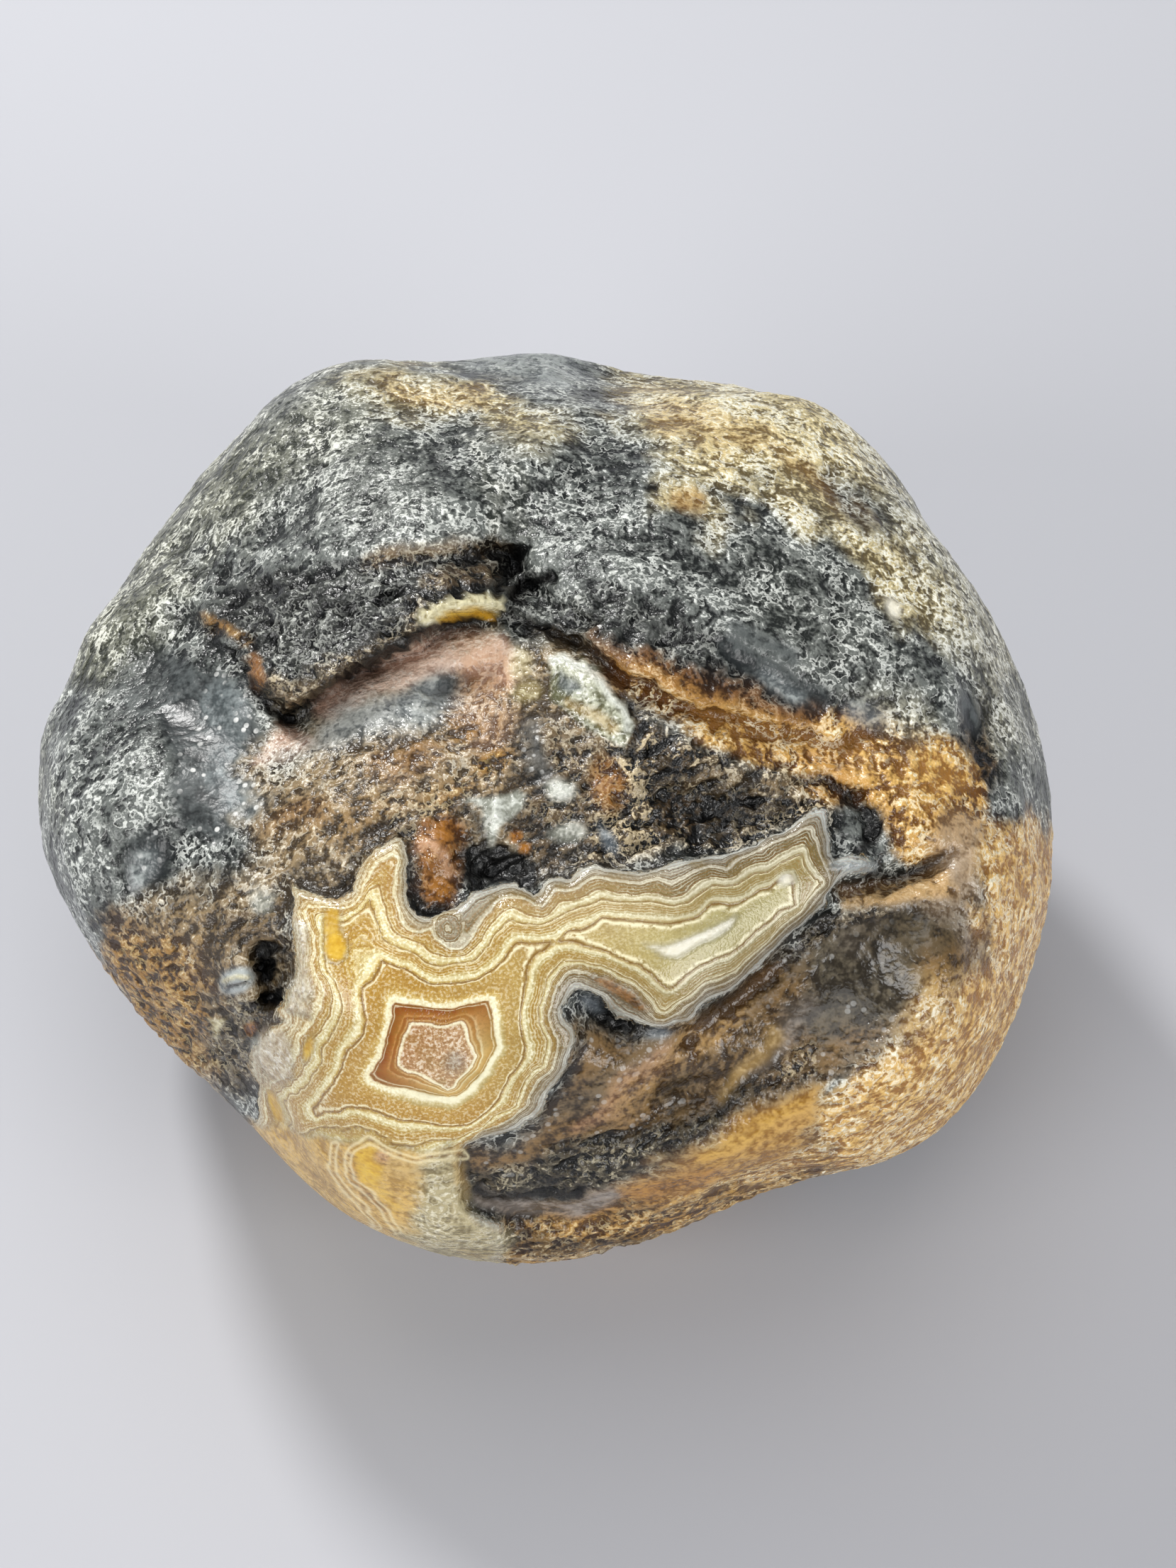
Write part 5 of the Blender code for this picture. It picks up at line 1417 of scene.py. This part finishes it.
@dataclass(frozen=True)
class AgateMaterial:
    """The stone's material: marked and granular skin, and the banded window let into it."""

    sway: Grain = Grain(2.2, 0.0, 0.5)  # how the crinkles turn from place to place
    crumple: Grain = Grain(0.7, 2.5, 0.55)  # the skin's crinkles
    mottle: Grain = Grain(3.2, 3.0)  # its broad paler and darker parts
    fray: Grain = Grain(0.34)  # the rough edges of the bands
    tremble: Grain = Grain(1.1, 1.0, 0.5)  # their small waves
    sugar: Grain = Grain(0.17, 1.0)  # their crystals
    cloud: Grain = Grain(1.8, 3.0)  # their duller parts
    border: Grain = Grain(0.4, 1.0)  # the window's edge
    kernels: float = 1.0  # the size in millimetres of the grains of granular skin
    dust: float = 0.7  # and of the cells that hold the white specks
    push: float = 0.16  # millimetres to the place that a crinkle's height is compared with
    highlight_lean: Triple = (0.56, 0.42, 0.46)  # turns most of the painted highlights on the crinkles' edges to the upper left
    frosted: Sequence[Point] = ((1.0, 0.07), (1.74, 0.14), (2.72, 0.13), (3.8, 0.14), (5.0, 0.06))
    fine_lines: Sequence[Triple] = (  # level, width and strength
        (1.48, 0.03, 0.6), (1.985, 0.028, 0.85), (2.985, 0.032, 0.85), (4.0, 0.03, 0.6),
    )
    fine_gap: float = 0.075  # in levels, between a dark line and the pale one beside it
    comb: float = 45.0  # how closely the faintest bands follow each other, in radians a level
    relief: float = 0.0005  # metres of bump for a height of 1
    crease_shade_and_wear: float = 0.14  # how much the painted shade darkens hollows and creases, and how much worn edges lighten
    refraction: float = 1.54
    shine: float = 0.46
    speck_white: Colour = (252, 252, 248)
    core_dark: Colour = (146, 96, 58)
    core_pale: Colour = (255, 246, 226)
    cloud_cool: Colour = (146, 130, 80)
    cloud_warm: Colour = (162, 122, 56)
    comb_pale: Colour = (253, 246, 214)
    comb_dark: Colour = (150, 104, 40)
    gap_cool: Colour = (116, 106, 70)  # between the crystals
    gap_warm: Colour = (146, 104, 44)
    glitter_white: Colour = (255, 252, 226)
    line_pale: Colour = (252, 244, 206)
    line_dark: Colour = (122, 88, 36)
    thread_pale: Colour = (250, 236, 190)
    thread_dark: Colour = (128, 88, 34)

    def skin(self, shader: Shader, place: Socket) -> tuple[Socket, Socket, Socket]:
        """The stone outside the window: crinkled by blows, with pale marks, painted highlights and shade.

        Worn edges and the crinkles' sides turned to the upper left take painted highlights, and hollows,
        creases and the crinkles' other sides take painted shade.

        Args:
            shader: The material's tree.
            place: The place in millimetres.

        Returns:
            Its colour, roughness and height.
        """
        pit, body, glint, texture = (
            shader.attribute(name, "Vector") for name in ("pit", "body", "glint", "texture"))
        split = shader.add("ShaderNodeSeparateXYZ", {}, {0: texture})
        amount, rough, grain = (split.output(axis) for axis in "XYZ")
        # Convex edges lighten as wear, and creases and hollows darken as painted shade.
        wear_and_crease_shade = shader.attribute("wear_and_crease_shade") * self.crease_shade_and_wear
        # Painted light and shade: each crinkle's height is compared with a place pushed mostly one way, so
        # its sides turned to the upper left lighten and its other sides darken.
        sway = shader.vector("SUBTRACT", {0: shader.noise(place, self.sway, "Color"), 1: self.highlight_lean})
        push = shader.vector("SCALE", {0: shader.vector("NORMALIZE", {0: sway}), "Scale": self.push})
        crumple = shader.noise(place, self.crumple)
        beside = shader.noise(shader.vector("ADD", {0: place, 1: push}), self.crumple)
        mottle = shader.noise(place, self.mottle)
        kernels = shader.cells(place, self.kernels)
        gap = kernels.smooth(0.4, 0.75) * grain
        edge = (crumple - beside) * (amount * 0.5 + grain * 0.4 + 0.25).at_most(1.0)
        # lit mixes the pit shade into the body: painted light and shade from the crinkles' sides and the
        # creases, with the random mottling.
        lit = edge + (mottle - 0.5) * 0.3 + (crumple - 0.5) * 0.25 - gap * 0.1 + wear_and_crease_shade
        # The bright marks' colour on crinkle sides turned to the upper left, a painted highlight, and on
        # worn edges.
        worn_and_lit_edges = edge + (mottle - 0.5) * 0.25 + (amount - 1.3) * 0.1 + wear_and_crease_shade * 0.3
        worn_and_lit_edges = worn_and_lit_edges.smooth(0.01, 0.07) * (amount * 0.6 + 0.35).at_most(1.0) * (1 - gap)
        # Pale marks along the crinkles' contours, partly painted glints.
        rims = abs(crumple - 0.51).smooth(0.045, 0.018) * mottle.smooth(0.42, 0.56)
        rims = rims * (amount * 1.2 - 0.35).clear() * (1 - gap)
        dust = shader.cells(place, self.dust).smooth(0.32, 0.2) * shader.attribute("specks")
        colour = shader.layered(pit, (body, lit.smooth(-0.1, 0.1)), (glint, worn_and_lit_edges), (glint, rims),
                                (self.speck_white, dust * mottle.smooth(0.44, 0.6)))
        height = crumple * (amount * 0.9 + grain * 0.5 + 0.04).at_most(1.0) + mottle * (amount * 0.7 + 0.1)
        return colour, rough * 0.6 + crumple * 0.16 - worn_and_lit_edges * 0.06, height - kernels * grain * 0.8

    def bands(self, shader: Shader, place: Socket, level: Socket) -> tuple[Socket, Socket, Socket]:
        """The banded window.

        Args:
            shader: The material's tree.
            place: The place in millimetres.
            level: The bands' level.

        Returns:
            Its colour, roughness and height.
        """
        fray, tremble, sugar, cloud = (
            shader.noise(place, grain) for grain in (self.fray, self.tremble, self.sugar, self.cloud))
        warmth = shader.attribute("warmth")
        frayed = level + (fray - 0.5) * 0.14 + (tremble - 0.5) * 0.1
        white = shader.greatest(frayed.peak(*band) for band in self.frosted)
        plain = 1 - white
        core = level.smooth(5.05, 5.12)
        needles = (sugar + fray) * 0.5
        comb = (frayed * self.comb).maths("SINE")
        combed = level.smooth(3.05, 2.9) * 0.4
        between = sugar.smooth(0.5, 0.34) * (0.46 - white * 0.26) * (warmth * 0.7 + 0.3)
        glitter = sugar.smooth(0.52, 0.64) * (white * 0.5 + 0.34) * (1.3 - cloud)
        glitter = glitter * (warmth * 0.8 + 0.3).at_most(1.0)
        glitter = glitter * abs(level - 4.5).smooth(0.42, 0.58) * (1 - core)
        dark, pale = self.drawn_lines(shader, level + (tremble - 0.5) * 0.08)
        solid = fray.smooth(0.3, 0.5)
        colour = shader.layered(
            self.striped(shader, frayed, warmth),
            (self.core_dark, needles.smooth(0.51, 0.44) * core * 0.5),
            (self.core_pale, needles.smooth(0.53, 0.62) * core * 0.5),
            (shader.mix(self.cloud_cool, self.cloud_warm, warmth), cloud.smooth(0.44, 0.68) * plain * 0.38),
            (self.comb_pale, comb.smooth(0.2, 1.0) * cloud.smooth(0.62, 0.4) * combed),
            (self.comb_dark, comb.smooth(-0.3, -1.0) * plain * combed),
            (shader.mix(self.gap_cool, self.gap_warm, warmth), between),
            (self.glitter_white, glitter.clear()),
            (self.line_pale, (pale * solid).clear()),
            (self.line_dark, (dark * solid).clear()))
        return colour, sugar * 0.2 + 0.1, sugar * 0.05 + fray * 0.04 + white * 0.03 - dark * 0.03

    def drawn_lines(self, shader: Shader, level: Socket) -> tuple[Socket, Socket]:
        """The finest dark lines of the bands, and the pale ones beside them."""
        dark = shader.greatest(level.peak(at, width) * strength for at, width, strength in self.fine_lines)
        pale = shader.greatest(level.peak(at + self.fine_gap, width * 0.8) * (strength * 0.9)
                               for at, width, strength in self.fine_lines)
        return dark, pale

    def striped(self, shader: Shader, level: Socket, warmth: Socket) -> Socket:
        """The bands' colour at a level, between its cool and its warm version."""
        colours = []
        for stripes in (OUTER_STRIPES, INNER_STRIPES):
            first, span = stripes[0].level, stripes[-1].level - stripes[0].level
            along = (level - first) / span
            pair = []
            for kind in ("cool", "warm"):
                stops = [((s.level - first) / span, getattr(s, kind)) for s in stripes]
                pair.append(shader.add("ShaderNodeValToRGB", {"stops": stops}, {0: along}, "Color"))
            colours.append(shader.mix(*pair, warmth))
        return shader.mix(*colours, level.smooth(2.999, 3.001))

    def build(self) -> bpy.types.Material:
        """Makes the material.

        Returns:
            The finished material.
        """
        shader = Shader("banded agate")
        here = shader.add("ShaderNodeTexCoord", {}, {}, "Object")
        place = shader.vector("SCALE", {0: here, "Scale": 1 / METRES})
        level, thread = shader.attribute("level"), shader.attribute("thread")
        skin, skin_rough, skin_height = self.skin(shader, place)
        pane, pane_rough, pane_height = self.bands(shader, place, level)
        edge = level + (shader.noise(place, self.border) - 0.5) * 0.5
        share = edge.smooth(-0.06, 0.08) * (1 - shader.attribute("veil"))
        colour = shader.layered(skin, (pane, share), (self.thread_pale, thread.peak(0.2, 0.11) * 0.55),
                                (self.thread_dark, thread.peak(0.0, 0.07) * 0.5))
        rough = skin_rough * (1 - share) + pane_rough * share
        height = skin_height * (1 - share) + pane_height * share
        bump = shader.add("ShaderNodeBump", {},
                          {"Strength": 1.0, "Distance": self.relief, "Height": height})
        return shader.finished({"Base Color": colour, "Roughness": rough.clear(), "Normal": bump,
                                "IOR": self.refraction, "Specular IOR Level": self.shine})


@dataclass(frozen=True)
class Stone:
    """The agate as one piece: its form, its broken skin, its paint and its material."""

    form: Pebble = Pebble()
    painter: Painter = Painter()
    material: AgateMaterial = AgateMaterial()
    skin_relief: float = 0.10  # millimetres, in the marked skin
    skin_length: float = 1.6
    grain_relief: float = 0.34
    grain_length: float = 1.25
    craggy_relief: float = 1.5
    craggy_length: float = 1.15
    tear: Sequence[Triple] = ((0.36, -0.46, 0.0), (0.18, 0.92, 0.0), (0.0, 0.0, 0.8))
    stir: float = 0.22  # millimetres that the bands wander
    stir_length: float = 1.7
    nowhere: float = 5.0  # the distance to the bands that the far side holds
    relief_rounds: int = 5  # how far a hollow or an edge is looked for, in the mesh's own edges
    relief_height: float = 0.09  # millimetres that an edge stands out where it is fully worn, or that a crease sinks where its painted shade is full

    def roughen(self, mesh: bpy.types.Mesh, points: Array, paint: Paint) -> Array:
        """Moves the points along their normals where the skin is marked, granular or craggy.

        Args:
            mesh: The mesh, whose normals are read.
            points: Its points in millimetres.
            paint: The paint, which says how marked and granular each vertex is.

        Returns:
            The moved points.
        """
        across, up, near = VIEWER.seen(points)
        pane = smooth_step(plot_depth(across, up, BANDS.rim), -0.3, 0.2) * (VIEWER.before_rim(points) > 0)
        marked, _, grain = paint.channels["texture"].T
        height = self.skin_relief * marked * cloudy(points, self.skin_length, 4, seed=11)
        height += self.grain_relief * grain * (pebbled(points, self.grain_length, seed=12) - 0.5)
        along = np.stack((across, up, near), axis=1) @ self.tear
        height += self.craggy_relief * paint.crag * (ridged(along, self.craggy_length, 4, seed=13) - 0.6)
        height *= (1 - pane) * smooth_step(points[:, 2], 0.1, 2.0)
        return points + read_vectors(mesh.vertex_normals, "vector") * height[:, None]

    def edges_and_creases(self, mesh: bpy.types.Mesh, points: Array) -> Array:
        """How much each point stands out of what is round it: worn edges lighten, creases take painted
        shade.

        Args:
            mesh: The mesh, whose normals and edges are read.
            points: Its points in millimetres.

        Returns:
            1 on a worn edge, 0 on even skin and -1 in a crease, where shade is painted.
        """
        ends = np.empty(len(mesh.edges) * 2, np.int32)
        mesh.edges.foreach_get("vertices", ends)
        starts, stops = np.concatenate((ends, ends.reshape(-1, 2)[:, ::-1].ravel())).reshape(-1, 2).T
        degree = np.bincount(starts)
        even = points
        for _ in range(self.relief_rounds):
            even = np.stack([np.bincount(starts, even[stops, axis]) / degree for axis in range(3)], axis=1)
        proud = ((points - even) * read_vectors(mesh.vertex_normals, "vector")).sum(axis=1)
        return np.tanh(proud / self.relief_height)

    def keep_paint(self, mesh: bpy.types.Mesh, paint: Paint, points: Array) -> None:
        """Keeps the paint and the bands' level on the mesh for the material.

        Args:
            mesh: The mesh.
            paint: The paint on each vertex.
            points: The vertices in millimetres.
        """
        across, up, _ = VIEWER.seen(points)
        front = VIEWER.before_rim(points) > self.painter.front_from
        stirred = [flat + self.stir * cloudy(points, self.stir_length, 3, seed)
                   for flat, seed in ((across, 21), (up, 22))]
        level = np.where(front, BANDS.level(*stirred), -self.nowhere)
        hold(mesh, "level", level)
        hold(mesh, "warmth", BANDS.warmth(across, up, level))
        hold(mesh, "thread", np.where(front, BANDS.thread_distance(*stirred), self.nowhere))
        hold(mesh, "veil", paint.veil)
        for name, values in paint.channels.items():
            hold(mesh, name, values)

    def build(self) -> bpy.types.Object:
        """Makes the stone.

        Returns:
            The stone's object, in metres, at the origin.
        """
        mesh = self.form.cube()
        points = self.form.shaped(read_vectors(mesh.vertices, "co"))
        write_points(mesh, points)
        LOG.info("carved %d vertices", len(points))
        paint = self.painter.paint(points)
        self.keep_paint(mesh, paint, points)
        LOG.info("painted")
        points = self.form.wear_flat(self.roughen(mesh, points, paint))
        write_points(mesh, points)
        # Worn edges, and creases where shade is painted, kept for the material.
        hold(mesh, "wear_and_crease_shade", self.edges_and_creases(mesh, points))
        write_points(mesh, points * METRES)
        mesh.shade_smooth()
        mesh.materials.append(self.material.build())
        return show("banded_agate", mesh)


@dataclass(frozen=True)
class Lamp:
    """An area light: where it hangs, its size, its power in watts and its colour."""

    name: str
    place: Triple
    size: float
    power: float
    colour: Triple = (1.0, 1.0, 1.0)

    def hang(self, target: Vector) -> None:
        """Hangs the light, turned to the target."""
        light = bpy.data.lights.new(self.name, "AREA")
        light.shape = "DISK"
        light.size = self.size
        light.energy = self.power
        light.color = self.colour
        holder = show(self.name, light)
        holder.location = self.place
        holder.rotation_euler = (target - Vector(self.place)).to_track_quat("-Z", "Y").to_euler()


@dataclass(frozen=True)
class Studio:
    """A plain pale floor, a soft sky and soft lamps."""

    floor_size: float = 4.0
    floor_colour: Colour = (186, 187, 193)
    floor_rough: float = 0.85
    sky: Triple = (0.9, 0.95, 1.0)
    sky_strength: float = 0.2
    lamps: Sequence[Lamp] = (
        Lamp("overhead", (0.0, 0.12, 0.60), 0.5, 1.0),
        Lamp("key", (-0.20, 0.28, 0.36), 0.08, 1.7, (1.0, 0.99, 0.97)),
        Lamp("front right", (0.42, -0.40, 0.26), 0.4, 2.3, (1.0, 0.99, 0.98)),
        Lamp("front left", (-0.45, -0.36, 0.30), 0.4, 2.3, (1.0, 0.99, 0.98)),
    )

    def lay_floor(self) -> None:
        """Makes the floor, which is no part of the stone."""
        mesh = bpy.data.meshes.new("floor")
        plane = bmesh.new()
        bmesh.ops.create_grid(plane, x_segments=1, y_segments=1, size=self.floor_size / 2)
        plane.to_mesh(mesh)
        plane.free()
        finish = {"Base Color": (*linear(self.floor_colour), 1.0), "Roughness": self.floor_rough}
        mesh.materials.append(Shader("floor").finished(finish))
        show("floor", mesh)

    def build(self) -> None:
        """Makes the floor, the sky and the lamps."""
        self.lay_floor()
        world = bpy.data.worlds.new("sky")
        world.use_nodes = True
        background = world.node_tree.nodes["Background"]
        background.inputs["Color"].default_value = (*self.sky, 1.0)
        background.inputs["Strength"].default_value = self.sky_strength
        bpy.context.scene.world = world
        for lamp in self.lamps:
            lamp.hang(Vector(VIEWER.centre) * METRES)
        bpy.context.scene.view_settings.view_transform = "Standard"


def main() -> None:
    """Loads the frame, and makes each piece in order."""
    logging.basicConfig(level=logging.INFO, format="%(name)s: %(message)s")
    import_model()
    VIEWER.camera()
    stone = Stone().build()
    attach(stone, BODY)
    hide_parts(NODE)
    LOG.info("stone made: %d faces", len(stone.data.polygons))
    Studio().build()
    LOG.info("studio made")


if __name__ == "__main__":
    main()
